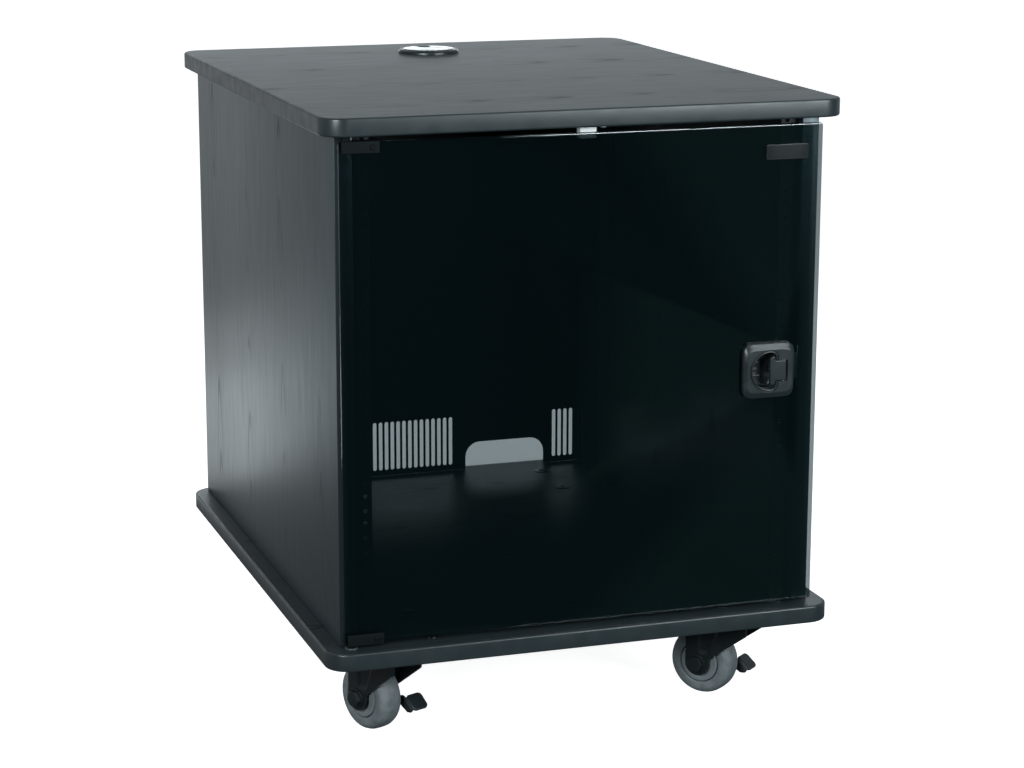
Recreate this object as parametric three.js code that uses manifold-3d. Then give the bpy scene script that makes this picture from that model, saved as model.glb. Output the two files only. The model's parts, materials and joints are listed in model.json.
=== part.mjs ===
// Mobile 12-unit equipment rack cabinet: wood-grain boards between two rounded slabs, a frameless
// glass door on pivot clips, four rack rails, a vented back panel and four swivel casters.
// Millimetres, +Z up, front facing -Y, origin on the ground under the middle of the slabs.
import * as THREE from "three";
import { mergeVertices } from "three/addons/utils/BufferGeometryUtils.js";
import Module from "manifold-3d";

const wasm = await Module();
wasm.setup();

// ---- Driving dimensions ----
const INCH = 25.4;
const GAP = 0.3; // clearance between two pieces that meet

const BOARD = 0.75 * INCH;
const SLAB_WIDTH = 22.25 * INCH;
const SLAB_DEPTH = 27 * INCH;
const SLAB_CORNER = INCH;
const BAND = 2.4; // edge band thickness
const BAND_ROUNDING = 1.8;

const RACK_UNIT = 1.75 * INCH;
const RACK_UNITS = 12;
const BAY_HEIGHT = RACK_UNITS * RACK_UNIT;
const CASTER_HEIGHT = 102;
const FLOOR = CASTER_HEIGHT + BOARD; // top face of the bottom slab
const CEILING = FLOOR + BAY_HEIGHT; // underside of the top slab

const BODY_WIDTH = 528.5;
const BODY_FRONT = -SLAB_DEPTH / 2 + 30.5;
const BODY_BACK = SLAB_DEPTH / 2 - 10;
const WALL = BODY_WIDTH / 2 - BOARD; // inner face of a side panel, from the middle

const RAIL = {
  sheet: 2.3,
  opening: 450.8 / 2,
  holeLine: 465.1 / 2,
  holeRadius: 2.3,
  holesInUnit: [0.25 * INCH, 0.875 * INCH, 1.5 * INCH],
  front: -302,
  frontWeb: 30,
  rear: 297,
  rearLip: 16,
};

const BACK = {
  sheet: 1.5,
  face: SLAB_DEPTH / 2 - 16.9,
  slotWidth: 5,
  slotHeight: 63.5,
  slotPitch: 7.82,
  slotEdge: 7.5,
  middleSlots: 15,
  outerSlots: 4,
  outerStart: 196.4,
  notchMiddle: 128.5,
  notchWidth: 107,
  notchHeight: 35.5,
  notchCorner: 19.5,
};

const GROMMET = { x: 0, y: 235, hole: 32, barrel: 31.7, bore: 29.5, flange: 36.3, cap: 30.8, rebate: 0.5 };

const DOOR = {
  hingeX: -255,
  hingeY: -323,
  left: -262.75,
  right: 262.75,
  thick: 6,
  bottom: 4.5,
  top: 526,
};
const CLIP = { left: -260, right: -221, grip: 12.5, sheet: 1.8, web: 1.2, screwX: -228 };
const PIN_RADIUS = 3;
const BUSH = { bore: 3.4, barrel: 5, flange: 7, depth: 10, seat: 1.6 };

const LATCH = {
  x: 205,
  z: 264,
  halfWidth: 29.3,
  halfHeight: 29.6,
  proud: 8,
  rimDepth: 4,
  rimWidth: 5.5,
  cup: 20,
  cupEdge: 7.2,
  cupCorner: 6,
  cupRight: 20.8,
  cupHalfHeight: 11.6,
  caseRadius: 24.8,
  caseRear: 15.3,
  cupFloor: 6.5,
  pinX: 17.3,
  pinY: -8,
  pinRadius: 1.2,
  tailEnd: 11.5,
};
const BOLT = { left: 5, right: 30.4, front: 8.3, rear: 13.3, halfHeight: 6 };
const STOP = { left: -6.5, right: 11.5, front: -319.6, rear: -309, reach: 14.1, foot: 18, footThick: 2.7 };
const STRIKE = { sheet: 1.5, lip: 8.5, halfHeight: 22, lipHalfHeight: 14, setback: 0.5 };
const BADGE = { x: 222, z: 497, width: 48, height: 16, thick: 1 };

const WHEEL_RADIUS = 37.5;
const WHEEL_HALF = 14.5;
const TRAIL = 33;
const PLATE = { x: 84, y: 104, thick: 3 };
const RACE_RADIUS = 27;
const FORK = { sheet: 3.5, inner: 17, top: 91.4, left: -47, right: 27, boss: 14, neck: 44, skirt: 78 };
const FORK_OUTER = FORK.inner + FORK.sheet;
const AXLE_RADIUS = 5;
const BORE_RADIUS = 5.5;
const LEVER = { sheet: 3, boss: 10 };
const TREAD = { x: 37, z: -6.35, slope: 40.6, length: 20, near: 23, far: 44, thick: 3.5, corner: 5 };

const CASTERS = [
  { name: "front_left", x: -197, y: -267, swivel: -66, brake: true },
  { name: "front_right", x: 197, y: -267, swivel: -50, brake: true },
  { name: "rear_left", x: -197, y: 245, swivel: 150, brake: false },
  { name: "rear_right", x: 197, y: 245, swivel: 165, brake: false },
];

// ---- Materials ----
const finish = (color, roughness, metalness = 0) => ({ color, roughness, metalness });
const ASH = finish(0x1d2125, 0.5);
const EDGE = finish(0x1f2327, 0.4);
const BLACK_STEEL = finish(0x121416, 0.5, 0.2);
const ZINC = finish(0x8b9094, 0.35, 0.9);
const BLACK_PLASTIC = finish(0x16191b, 0.45);
const GREY_RUBBER = finish(0x63686b, 0.6);
const GREY_PLASTIC = finish(0x5a5f62, 0.5);
const WHITE_NYLON = finish(0xe8e8e4, 0.5);
const TINTED_GLASS = { color: 0x22302f, roughness: 0.05, transparent: true, opacity: 0.6 };

// ---- Solid helpers ----
function signedVolume(positions, indices) {
  const [a, b, c] = [new THREE.Vector3(), new THREE.Vector3(), new THREE.Vector3()];
  let volume = 0;
  for (let i = 0; i < indices.length; i += 3) {
    a.fromArray(positions, indices[i] * 3);
    b.fromArray(positions, indices[i + 1] * 3);
    c.fromArray(positions, indices[i + 2] * 3);
    volume += a.dot(b.cross(c)) / 6;
  }
  return volume;
}

function solidOf(geometry) {
  const bare = geometry.clone();
  bare.deleteAttribute("normal");
  bare.deleteAttribute("uv");
  const merged = mergeVertices(bare, 1e-4);
  const vertProperties = Float32Array.from(merged.attributes.position.array);
  const triVerts = Uint32Array.from(merged.index.array);
  if (signedVolume(vertProperties, triVerts) < 0) {
    triVerts.reverse();
  }
  return new wasm.Manifold(new wasm.Mesh({ numProp: 3, vertProperties, triVerts }));
}

function geometryOf(solid) {
  const { vertProperties, triVerts } = solid.getMesh();
  const geometry = new THREE.BufferGeometry();
  geometry.setAttribute("position", new THREE.BufferAttribute(vertProperties, 3));
  geometry.setIndex(new THREE.BufferAttribute(triVerts, 1));
  geometry.computeVertexNormals();
  return geometry;
}

const join = (...solids) => solids.reduce((whole, next) => whole.add(next));
const cut = (solid, ...tools) => tools.reduce((left, tool) => left.subtract(tool), solid);

function box([x0, x1], [y0, y1], [z0, z1]) {
  const geometry = new THREE.BoxGeometry(x1 - x0, y1 - y0, z1 - z0);
  return solidOf(geometry.translate((x0 + x1) / 2, (y0 + y1) / 2, (z0 + z1) / 2));
}

// A solid turned about Z from [radius, height] points.
function turned(profile, segments) {
  const points = profile.map(([radius, height]) => new THREE.Vector2(radius, height));
  return solidOf(new THREE.LatheGeometry(points, segments).rotateX(Math.PI / 2));
}

// The same, about Y, with [radius, y] points.
function turnedY(profile, segments) {
  const points = profile.map(([radius, y]) => new THREE.Vector2(radius, y));
  return solidOf(new THREE.LatheGeometry(points, segments));
}

function rodY(radius, [y0, y1], x, z, sides) {
  const rod = new THREE.CylinderGeometry(radius, radius, y1 - y0, sides);
  return solidOf(rod.translate(x, (y0 + y1) / 2, z));
}

function rodZ(radius, [z0, z1], x, y, sides) {
  const rod = new THREE.CylinderGeometry(radius, radius, z1 - z0, sides).rotateX(Math.PI / 2);
  return solidOf(rod.translate(x, y, (z0 + z1) / 2));
}

// An outline in plan, raised between two heights.
function raised(shape, [z0, z1], curveSegments = 3) {
  const options = { depth: z1 - z0, bevelEnabled: false, curveSegments };
  return solidOf(new THREE.ExtrudeGeometry(shape, options).translate(0, 0, z0));
}

// An outline seen from the front (its x and height), between two depths.
function facing(shape, [y0, y1], curveSegments = 3) {
  const options = { depth: y1 - y0, bevelEnabled: false, curveSegments };
  return solidOf(new THREE.ExtrudeGeometry(shape, options).rotateX(Math.PI / 2).translate(0, y1, 0));
}

function roundedRect(width, height, radius, x = 0, y = 0) {
  const shape = new THREE.Shape();
  const [dx, dy] = [width / 2 - radius, height / 2 - radius];
  const quarter = Math.PI / 2;
  const corners = [[dx, dy], [-dx, dy], [-dx, -dy], [dx, -dy]];
  corners.forEach(([cx, cy], i) => {
    shape.absarc(x + cx, y + cy, radius, i * quarter, (i + 1) * quarter, false);
  });
  return shape;
}

function uprightSlot(width, height, x, z) {
  const shape = new THREE.Shape();
  const rise = (height - width) / 2;
  shape.absarc(x, z + rise, width / 2, 0, Math.PI, false);
  shape.absarc(x, z - rise, width / 2, Math.PI, 2 * Math.PI, false);
  return shape;
}

// A square with bulging sides and soft corners.
function squircle(halfWidth, halfHeight, sides = 32) {
  const shape = new THREE.Shape();
  const power = 2 / 7;
  for (let i = 0; i < sides; i++) {
    const angle = (i / sides) * 2 * Math.PI;
    const [c, s] = [Math.cos(angle), Math.sin(angle)];
    const x = halfWidth * Math.sign(c) * Math.abs(c) ** power;
    const y = halfHeight * Math.sign(s) * Math.abs(s) ** power;
    if (i === 0) {
      shape.moveTo(x, y);
    } else {
      shape.lineTo(x, y);
    }
  }
  shape.closePath();
  return shape;
}

function piece(group, name, solid, look) {
  const mesh = new THREE.Mesh(geometryOf(solid), new THREE.MeshStandardMaterial(look));
  mesh.name = name;
  group.add(mesh);
  return mesh;
}

function groupAt(parent, x, y, z) {
  const group = new THREE.Group();
  group.position.set(x, y, z);
  parent.add(group);
  return group;
}

// ---- Carcass ----
// A slab's edge band: the rounded outer slab less its core, in the slab's own frame (z from 0).
function edgeBand() {
  const outline = roundedRect(SLAB_WIDTH, SLAB_DEPTH, SLAB_CORNER);
  const options = {
    depth: BOARD - 2 * BAND_ROUNDING,
    bevelThickness: BAND_ROUNDING,
    bevelSize: BAND_ROUNDING,
    bevelOffset: -BAND_ROUNDING,
    bevelSegments: 2,
    curveSegments: 3,
  };
  const slab = solidOf(new THREE.ExtrudeGeometry(outline, options).translate(0, 0, BAND_ROUNDING));
  const core = roundedRect(SLAB_WIDTH - 2 * BAND, SLAB_DEPTH - 2 * BAND, SLAB_CORNER - BAND);
  return cut(slab, raised(core, [-1, BOARD + 1]));
}

function slabCore() {
  const inset = 2 * (BAND + GAP);
  const outline = roundedRect(SLAB_WIDTH - inset, SLAB_DEPTH - inset, SLAB_CORNER - inset / 2);
  return raised(outline, [0, BOARD]);
}

// The hole for a pivot bush, from the slab face at height z, going down or up.
function bushHole(z, direction) {
  const far = z + direction * (BUSH.depth + 0.5);
  const near = z - direction;
  const span = [Math.min(near, far), Math.max(near, far)];
  return rodZ(BUSH.barrel + GAP, span, DOOR.hingeX, DOOR.hingeY, 16);
}

function addSlabs(root) {
  const bottom = groupAt(root, 0, 0, CASTER_HEIGHT);
  piece(bottom, "bottom_panel", cut(slabCore(), bushHole(BOARD, -1)), ASH);
  piece(bottom, "bottom_edge_band", edgeBand(), EDGE);

  const top = groupAt(root, 0, 0, CEILING);
  const cableHole = rodZ(GROMMET.hole, [-1, BOARD + 1], GROMMET.x, GROMMET.y, 24);
  const rebateSpan = [BOARD - GROMMET.rebate, BOARD + 1];
  const rebate = rodZ(GROMMET.flange + GAP, rebateSpan, GROMMET.x, GROMMET.y, 24);
  piece(top, "top_panel", cut(slabCore(), bushHole(0, 1), cableHole, rebate), ASH);
  piece(top, "top_edge_band", edgeBand(), EDGE);
}

function addSidePanels(root) {
  const height = [FLOOR + GAP, CEILING - GAP];
  const depth = [BODY_FRONT, BODY_BACK];
  piece(root, "left_side_panel", box([-BODY_WIDTH / 2, -WALL], depth, height), ASH);
  piece(root, "right_side_panel", box([WALL, BODY_WIDTH / 2], depth, height), ASH);
}

function ventSlotCentres() {
  const centres = [];
  for (let i = 0; i < BACK.middleSlots; i++) {
    centres.push((i - (BACK.middleSlots - 1) / 2) * BACK.slotPitch);
  }
  for (let i = 0; i < BACK.outerSlots; i++) {
    const x = BACK.outerStart + i * BACK.slotPitch;
    centres.push(x, -x);
  }
  return centres;
}

// The vented back sheet: a row of slots at the foot and at the head, and two cable notches.
function addBackPanel(root) {
  const back = groupAt(root, 0, BACK.face, FLOOR);
  const through = [-1, BACK.sheet + 1];
  const side = WALL - GAP;
  let sheet = box([-side, side], [0, BACK.sheet], [GAP, BAY_HEIGHT - GAP]);
  const slotMiddle = BACK.slotEdge + BACK.slotHeight / 2;
  for (const x of ventSlotCentres()) {
    for (const z of [slotMiddle, BAY_HEIGHT - slotMiddle]) {
      const slot = uprightSlot(BACK.slotWidth, BACK.slotHeight, x, z);
      sheet = cut(sheet, facing(slot, through, 1));
    }
  }
  const below = 2 * BACK.notchCorner;
  for (const x of [-BACK.notchMiddle, BACK.notchMiddle]) {
    const middle = (BACK.notchHeight - below) / 2;
    const notch = roundedRect(BACK.notchWidth, BACK.notchHeight + below, BACK.notchCorner, x, middle);
    sheet = cut(sheet, facing(notch, through, 3));
  }
  piece(back, "back_panel", sheet, BLACK_STEEL);
}

// ---- Rack rails ----
function drilled(rail, side, y) {
  let solid = rail;
  for (let unit = 0; unit < RACK_UNITS; unit++) {
    for (const height of RAIL.holesInUnit) {
      const z = unit * RACK_UNIT + height;
      const hole = rodY(RAIL.holeRadius, [y - 1, y + RAIL.sheet + 1], side * RAIL.holeLine, z, 6);
      solid = cut(solid, hole);
    }
  }
  return solid;
}

// Span along x of a strip that starts at the wall, for the left (-1) or right (+1) side.
function fromWall(side, inner) {
  const outer = WALL - GAP;
  return side > 0 ? [inner, outer] : [-outer, -inner];
}

function frontRail(side) {
  const height = [GAP, BAY_HEIGHT - GAP];
  const flange = box(fromWall(side, RAIL.opening), [RAIL.front, RAIL.front + RAIL.sheet], height);
  const webInner = WALL - GAP - RAIL.sheet;
  const web = box(fromWall(side, webInner), [RAIL.front, RAIL.front + RAIL.frontWeb], height);
  return drilled(join(flange, web), side, RAIL.front);
}

// The rear rail is a channel: its lip carries the back panel.
function rearRail(side) {
  const height = [GAP, BAY_HEIGHT - GAP];
  const flangeY = RAIL.rear - RAIL.sheet;
  const lipEnd = BACK.face - GAP;
  const flange = box(fromWall(side, RAIL.opening), [flangeY, RAIL.rear], height);
  const web = box(fromWall(side, WALL - GAP - RAIL.sheet), [flangeY, lipEnd], height);
  const lip = box(fromWall(side, WALL - RAIL.rearLip), [lipEnd - RAIL.sheet, lipEnd], height);
  return drilled(join(flange, web, lip), side, flangeY);
}

function addRails(root) {
  const rails = groupAt(root, 0, 0, FLOOR);
  piece(rails, "front_left_rail", frontRail(-1), BLACK_STEEL);
  piece(rails, "front_right_rail", frontRail(1), BLACK_STEEL);
  piece(rails, "rear_left_rail", rearRail(-1), BLACK_STEEL);
  piece(rails, "rear_right_rail", rearRail(1), BLACK_STEEL);
}

// ---- Cable grommet in the top ----
function addGrommet(root) {
  const grommet = groupAt(root, GROMMET.x, GROMMET.y, CEILING + BOARD);
  const seat = GROMMET.cap + 0.4;
  const under = GAP - GROMMET.rebate;
  const ring = [
    [GROMMET.bore, -17],
    [GROMMET.barrel, -17],
    [GROMMET.barrel, under],
    [GROMMET.flange, under],
    [GROMMET.flange, 2.6],
    [GROMMET.flange - 1.3, 4],
    [seat, 4],
    [seat, 1.2],
    [GROMMET.bore, 1.2],
    [GROMMET.bore, -17],
  ];
  piece(grommet, "grommet_ring", turned(ring, 24), BLACK_PLASTIC);

  const skirt = GROMMET.bore - 0.6;
  const cap = [
    [0, 1.8],
    [skirt - 2, 1.8],
    [skirt - 2, -5],
    [skirt, -5],
    [skirt, 1.5],
    [GROMMET.cap, 1.5],
    [GROMMET.cap, 3.8],
    [GROMMET.cap - 1, 4.6],
    [0, 4.9],
  ];
  const mouth = 8;
  const throat = 18;
  const cableNotch = join(
    rodZ(mouth, [-6, 6], 0, throat, 16),
    box([-mouth, mouth], [throat, GROMMET.cap + 1], [-6, 6]),
  );
  piece(grommet, "grommet_cap", cut(turned(cap, 24), cableNotch), BLACK_PLASTIC);
}

// ---- Door hardware on the cabinet ----
function addDoorFittings(root) {
  const head = groupAt(root, 0, 0, CEILING - GAP);
  const stop = join(
    box([STOP.left, STOP.right], [STOP.front, STOP.rear], [-STOP.reach, 0]),
    box([STOP.right - 1, STOP.right + STOP.foot], [-319, -311], [-STOP.footThick, 0]),
  );
  piece(head, "door_stop", stop, WHITE_NYLON);

  const base = groupAt(root, 0, 0, FLOOR + LATCH.z);
  const wall = WALL - GAP;
  const lip = DOOR.hingeY + BOLT.front - STRIKE.setback;
  const face = lip - STRIKE.sheet;
  const upright = [-STRIKE.halfHeight, STRIKE.halfHeight];
  const hooked = [-STRIKE.lipHalfHeight, STRIKE.lipHalfHeight];
  const strike = join(
    box([wall - STRIKE.sheet, wall], [face, RAIL.front - 2.5], upright),
    box([wall - STRIKE.lip, wall], [face, lip], hooked),
  );
  piece(base, "strike_plate", strike, ZINC);

  const bush = [
    [BUSH.bore, -BUSH.depth],
    [BUSH.barrel, -BUSH.depth],
    [BUSH.barrel, GAP],
    [BUSH.flange, GAP],
    [BUSH.flange, BUSH.seat],
    [BUSH.bore, BUSH.seat],
    [BUSH.bore, -BUSH.depth],
  ];
  const lower = groupAt(root, DOOR.hingeX, DOOR.hingeY, FLOOR);
  piece(lower, "lower_pivot_bush", turned(bush, 16), GREY_PLASTIC);
  const upsideDown = bush.map(([radius, z]) => [radius, -z]);
  const upper = groupAt(root, DOOR.hingeX, DOOR.hingeY, CEILING);
  piece(upper, "upper_pivot_bush", turned(upsideDown, 16), GREY_PLASTIC);
}

// ---- Glass door, in a frame on its hinge axis at the bay floor ----
function addGlass(door) {
  const width = DOOR.right - DOOR.left;
  const height = DOOR.top - DOOR.bottom;
  const middle = (DOOR.left + DOOR.right) / 2 - DOOR.hingeX;
  const outline = roundedRect(width, height, 2, middle, (DOOR.top + DOOR.bottom) / 2);
  const pane = facing(outline, [-DOOR.thick / 2, DOOR.thick / 2], 1);
  const hole = rodY(LATCH.caseRadius + 0.6, [-9, 9], LATCH.x - DOOR.hingeX, LATCH.z, 32);
  piece(door, "glass_door", cut(pane, hole), TINTED_GLASS);
}

// A U-shaped clip over the edge of the glass: up is +1 at the head, -1 at the foot.
function addClip(door, name, up) {
  const edge = up > 0 ? DOOR.top : DOOR.bottom;
  const clip = groupAt(door, -DOOR.hingeX, 0, edge);
  const span = (a, b) => [Math.min(up * a, up * b), Math.max(up * a, up * b)];
  const slot = DOOR.thick / 2 + GAP;
  const outer = slot + CLIP.sheet;
  const outside = CLIP.web + GAP;
  const channel = cut(
    box([CLIP.left, CLIP.right], [-outer, outer], span(outside, outside - CLIP.grip)),
    box([CLIP.left - 1, CLIP.right + 1], [-slot, slot], span(GAP, -CLIP.grip)),
    rodY(1.9, [-outer - 1, 0], CLIP.screwX, -up * 5, 12),
  );
  piece(clip, `${name}_hinge_clip`, channel, BLACK_STEEL);

  const head = [
    [0, -outer - 1.6],
    [2.2, -outer - 1.6],
    [3.1, -outer - 0.9],
    [3.1, -outer - GAP],
    [1.5, -outer - GAP],
    [1.5, -slot],
    [0, -slot],
  ];
  const screw = piece(clip, `${name}_clip_screw`, turnedY(head, 12), ZINC);
  screw.position.set(CLIP.screwX, 0, -up * 5);

  const collar = outside + GAP;
  const reach = up > 0 ? BAY_HEIGHT - DOOR.top : DOOR.bottom;
  const tip = reach + BUSH.depth - 1;
  const shoulder = reach - BUSH.seat - GAP;
  const pin = [[0, collar], [5, collar], [5, shoulder], [PIN_RADIUS, shoulder], [PIN_RADIUS, tip], [0, tip]];
  const upright = pin.map(([radius, z]) => [radius, up * z]);
  const pinMesh = piece(clip, `${name}_pivot_pin`, turned(upright, 12), ZINC);
  pinMesh.position.x = DOOR.hingeX;
}

// The finger cup: half round on the left, with a square bay on its right where the paddle hangs.
function cupOutline() {
  const shape = new THREE.Shape();
  const quarter = Math.PI / 2;
  const { cup, cupCorner, cupEdge, cupRight, cupHalfHeight } = LATCH;
  const [x, z] = [cupEdge - cupCorner, cup - cupCorner];
  shape.absarc(0, 0, cup, quarter, 3 * quarter, false);
  shape.absarc(x, -z, cupCorner, -quarter, 0, false);
  shape.lineTo(cupEdge, -cupHalfHeight);
  shape.lineTo(cupRight, -cupHalfHeight);
  shape.lineTo(cupRight, cupHalfHeight);
  shape.lineTo(cupEdge, cupHalfHeight);
  shape.absarc(x, z, cupCorner, 0, quarter, false);
  shape.closePath();
  return shape;
}

function escutcheon() {
  const rear = -DOOR.thick / 2 - GAP;
  const options = {
    depth: LATCH.proud - LATCH.rimDepth,
    bevelThickness: LATCH.rimDepth,
    bevelSize: LATCH.rimWidth,
    bevelOffset: -LATCH.rimWidth,
    bevelSegments: 2,
  };
  const outline = squircle(LATCH.halfWidth, LATCH.halfHeight);
  const blank = new THREE.ExtrudeGeometry(outline, options).rotateX(Math.PI / 2);
  return cut(
    solidOf(blank.translate(0, rear, 0)),
    box([-40, 40], [rear, rear + 10], [-40, 40]),
    facing(cupOutline(), [-20, 10], 8),
    rodZ(LATCH.pinRadius + GAP, [-15.5, 15.5], LATCH.pinX, LATCH.pinY, 8),
  );
}

// The housing behind the glass: finger cup in front, bolt channel behind it.
function latchCase() {
  const reach = LATCH.caseRadius + 1;
  return cut(
    rodY(LATCH.caseRadius, [-DOOR.thick / 2, LATCH.caseRear], 0, 0, 32),
    facing(cupOutline(), [-4, LATCH.cupFloor], 8),
    box([-8, reach], [BOLT.front - 0.5, BOLT.rear + 0.5], [-BOLT.halfHeight - 0.5, BOLT.halfHeight + 0.5]),
    box([4, 20.4], [LATCH.cupFloor - 1, BOLT.front + 1], [-4, 4]),
  );
}

function paddle() {
  const face = new THREE.Shape();
  face.moveTo(19.3, -11);
  face.lineTo(19.3, 11);
  face.lineTo(6.6, 11);
  face.lineTo(6.6, 15.5);
  face.lineTo(2, 15.5);
  face.lineTo(0.6, 14);
  face.lineTo(0.6, -14);
  face.lineTo(2, -15.5);
  face.lineTo(6.6, -15.5);
  face.lineTo(6.6, -11);
  face.closePath();
  return cut(
    join(
      facing(face, [LATCH.pinY - 2.6, LATCH.pinY + 0.2], 3),
      rodZ(2.6, [-11, 11], LATCH.pinX, LATCH.pinY, 12),
      box([LATCH.pinX - 1.5, LATCH.pinX + 1.5], [LATCH.pinY, LATCH.tailEnd], [-3, 3]),
    ),
    rodZ(LATCH.pinRadius + GAP, [-12, 12], LATCH.pinX, LATCH.pinY, 8),
  );
}

// Slam bolt: the nose is bevelled behind, and a slot takes the paddle's tail.
function bolt() {
  const plan = new THREE.Shape();
  plan.moveTo(BOLT.left, BOLT.front);
  plan.lineTo(BOLT.right, BOLT.front);
  plan.lineTo(BOLT.right, BOLT.front + 1.8);
  plan.lineTo(BOLT.right - 5, BOLT.rear);
  plan.lineTo(BOLT.left, BOLT.rear);
  plan.closePath();
  const slot = box([LATCH.pinX - 3.3, LATCH.pinX + 2.7], [BOLT.front - 1, BOLT.rear + 1], [-3.6, 3.6]);
  return cut(raised(plan, [-BOLT.halfHeight, BOLT.halfHeight]), slot);
}

function addLatch(door) {
  const latch = groupAt(door, LATCH.x - DOOR.hingeX, 0, LATCH.z);
  piece(latch, "latch_escutcheon", escutcheon(), BLACK_PLASTIC);
  piece(latch, "latch_case", latchCase(), BLACK_PLASTIC);
  const rear = DOOR.thick / 2 + GAP;
  const clamp = facing(roundedRect(58, 58, 8), [rear, rear + 3], 2);
  const clampHole = rodY(LATCH.caseRadius + 0.4, [0, 12], 0, 0, 32);
  piece(latch, "latch_clamp_plate", cut(clamp, clampHole), BLACK_STEEL);
  piece(latch, "latch_paddle", paddle(), BLACK_PLASTIC);
  piece(latch, "latch_pin", rodZ(LATCH.pinRadius, [-15, 15], LATCH.pinX, LATCH.pinY, 8), ZINC);
  piece(latch, "latch_bolt", bolt(), ZINC);
}

function addDoor(root) {
  const door = groupAt(root, DOOR.hingeX, DOOR.hingeY, FLOOR);
  addGlass(door);
  addClip(door, "upper", 1);
  addClip(door, "lower", -1);
  addLatch(door);
  const front = -DOOR.thick / 2 - GAP;
  const plate = roundedRect(BADGE.width, BADGE.height, 1.5, BADGE.x - DOOR.hingeX, BADGE.z);
  piece(door, "badge_plate", facing(plate, [front - BADGE.thick, front], 1), BLACK_PLASTIC);
}

// ---- Casters, each in a frame on its swivel axis at the ground, wheel trailing to -X ----
function casterPlate() {
  const top = CASTER_HEIGHT - GAP;
  const under = top - PLATE.thick;
  const race = [
    [0, FORK.top + GAP],
    [RACE_RADIUS - 4, FORK.top + GAP],
    [RACE_RADIUS, FORK.top + 3],
    [RACE_RADIUS, under + 1],
    [0, under + 1],
  ];
  return cut(
    join(raised(roundedRect(PLATE.x, PLATE.y, 6), [under, top], 1), turned(race, 20)),
    rodZ(BORE_RADIUS, [80, 110], 0, 0, 12),
  );
}

function forkLeg(y) {
  const shape = new THREE.Shape();
  const shoulder = 12;
  shape.moveTo(FORK.right, FORK.top);
  shape.absarc(FORK.left + shoulder, FORK.top - shoulder, shoulder, Math.PI / 2, Math.PI, false);
  shape.absarc(-TRAIL, WHEEL_RADIUS, FORK.boss, Math.PI, 2 * Math.PI, false);
  shape.lineTo(FORK.boss - TRAIL, FORK.neck);
  shape.lineTo(FORK.right, FORK.skirt);
  shape.closePath();
  return facing(shape, [y, y + FORK.sheet], 4);
}

function fork() {
  const plan = roundedRect(FORK.right - FORK.left - 8, 2 * FORK_OUTER, 4, (FORK.right + FORK.left) / 2 + 4);
  return cut(
    join(
      forkLeg(-FORK_OUTER),
      forkLeg(FORK.inner),
      raised(plan, [FORK.top - FORK.sheet, FORK.top], 1),
    ),
    rodY(BORE_RADIUS, [-30, 30], -TRAIL, WHEEL_RADIUS, 12),
    rodZ(BORE_RADIUS, [80, 110], 0, 0, 12),
  );
}

function kingpin() {
  const under = FORK.top - FORK.sheet - GAP;
  const top = CASTER_HEIGHT - 2 * GAP;
  const profile = [[0, under - 4], [7, under - 4], [9, under - 2.5], [9, under], [AXLE_RADIUS, under]];
  return turned([...profile, [AXLE_RADIUS, top], [0, top]], 12);
}

function tyre() {
  const half = [[23, -13.8], [28.5, -WHEEL_HALF], [33.6, -13], [36.7, -8]];
  const other = half.map(([radius, y]) => [radius, -y]).reverse();
  return turnedY([...half, [WHEEL_RADIUS, 0], ...other, half[0]], 24);
}

function hub() {
  const half = [[BORE_RADIUS, -16.3], [9.5, -16.3], [11, -13.6], [21, -14.3], [22.7, -13.6]];
  const other = half.map(([radius, y]) => [radius, -y]).reverse();
  return turnedY([...half, ...other, half[0]], 16);
}

// Hex bolt and its nut, drawn as one: the nut lies beyond the brake lever where there is one.
function axleBolt(brake) {
  const seat = FORK_OUTER + GAP;
  const nutAt = brake ? seat + LEVER.sheet + 2 * GAP : seat;
  return join(
    rodY(9.6, [-seat - 6, -seat], 0, 0, 6),
    rodY(AXLE_RADIUS, [-seat - 1, nutAt + 8], 0, 0, 12),
    rodY(9.2, [nutAt, nutAt + 6.5], 0, 0, 6),
  );
}

// Foot lever outside the far leg, in the axle's frame: an arm, and a tread that slopes down outward.
function brakeLever() {
  const y = FORK_OUTER + GAP + 0.2;
  const arm = new THREE.Shape();
  arm.moveTo(42.5, -12.5);
  arm.lineTo(31, -2.7);
  arm.lineTo(19, 2.6);
  arm.absarc(0, 0, LEVER.boss, Math.PI / 4, 1.6 * Math.PI, false);
  arm.lineTo(19, -9.5);
  arm.lineTo(34, -17.5);
  arm.lineTo(39.5, -16.8);
  arm.closePath();
  const middle = (TREAD.near + TREAD.far) / 2;
  const plan = roundedRect(TREAD.length, TREAD.far - TREAD.near, TREAD.corner, 0, middle);
  const tread = raised(plan, [-TREAD.thick, 0], 2).rotate([0, TREAD.slope, 0]);
  return cut(
    join(facing(arm, [y, y + LEVER.sheet], 3), tread.translate([TREAD.x, 0, TREAD.z])),
    rodY(BORE_RADIUS, [0, 60], 0, 0, 12),
  );
}

function addCaster(root, { name, x, y, swivel, brake }) {
  const fixed = groupAt(root, x, y, 0);
  piece(fixed, `${name}_caster_plate`, casterPlate(), BLACK_STEEL);
  piece(fixed, `${name}_kingpin`, kingpin(), ZINC);
  const turning = groupAt(fixed, 0, 0, 0);
  turning.rotation.z = THREE.MathUtils.degToRad(swivel);
  piece(turning, `${name}_fork`, fork(), BLACK_STEEL);
  const axle = groupAt(turning, -TRAIL, 0, WHEEL_RADIUS);
  piece(axle, `${name}_axle_bolt`, axleBolt(brake), BLACK_STEEL);
  piece(axle, `${name}_tyre`, tyre(), GREY_RUBBER);
  piece(axle, `${name}_hub`, hub(), GREY_PLASTIC);
  if (brake) {
    piece(axle, `${name}_brake_lever`, brakeLever(), BLACK_PLASTIC);
  }
}

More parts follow.
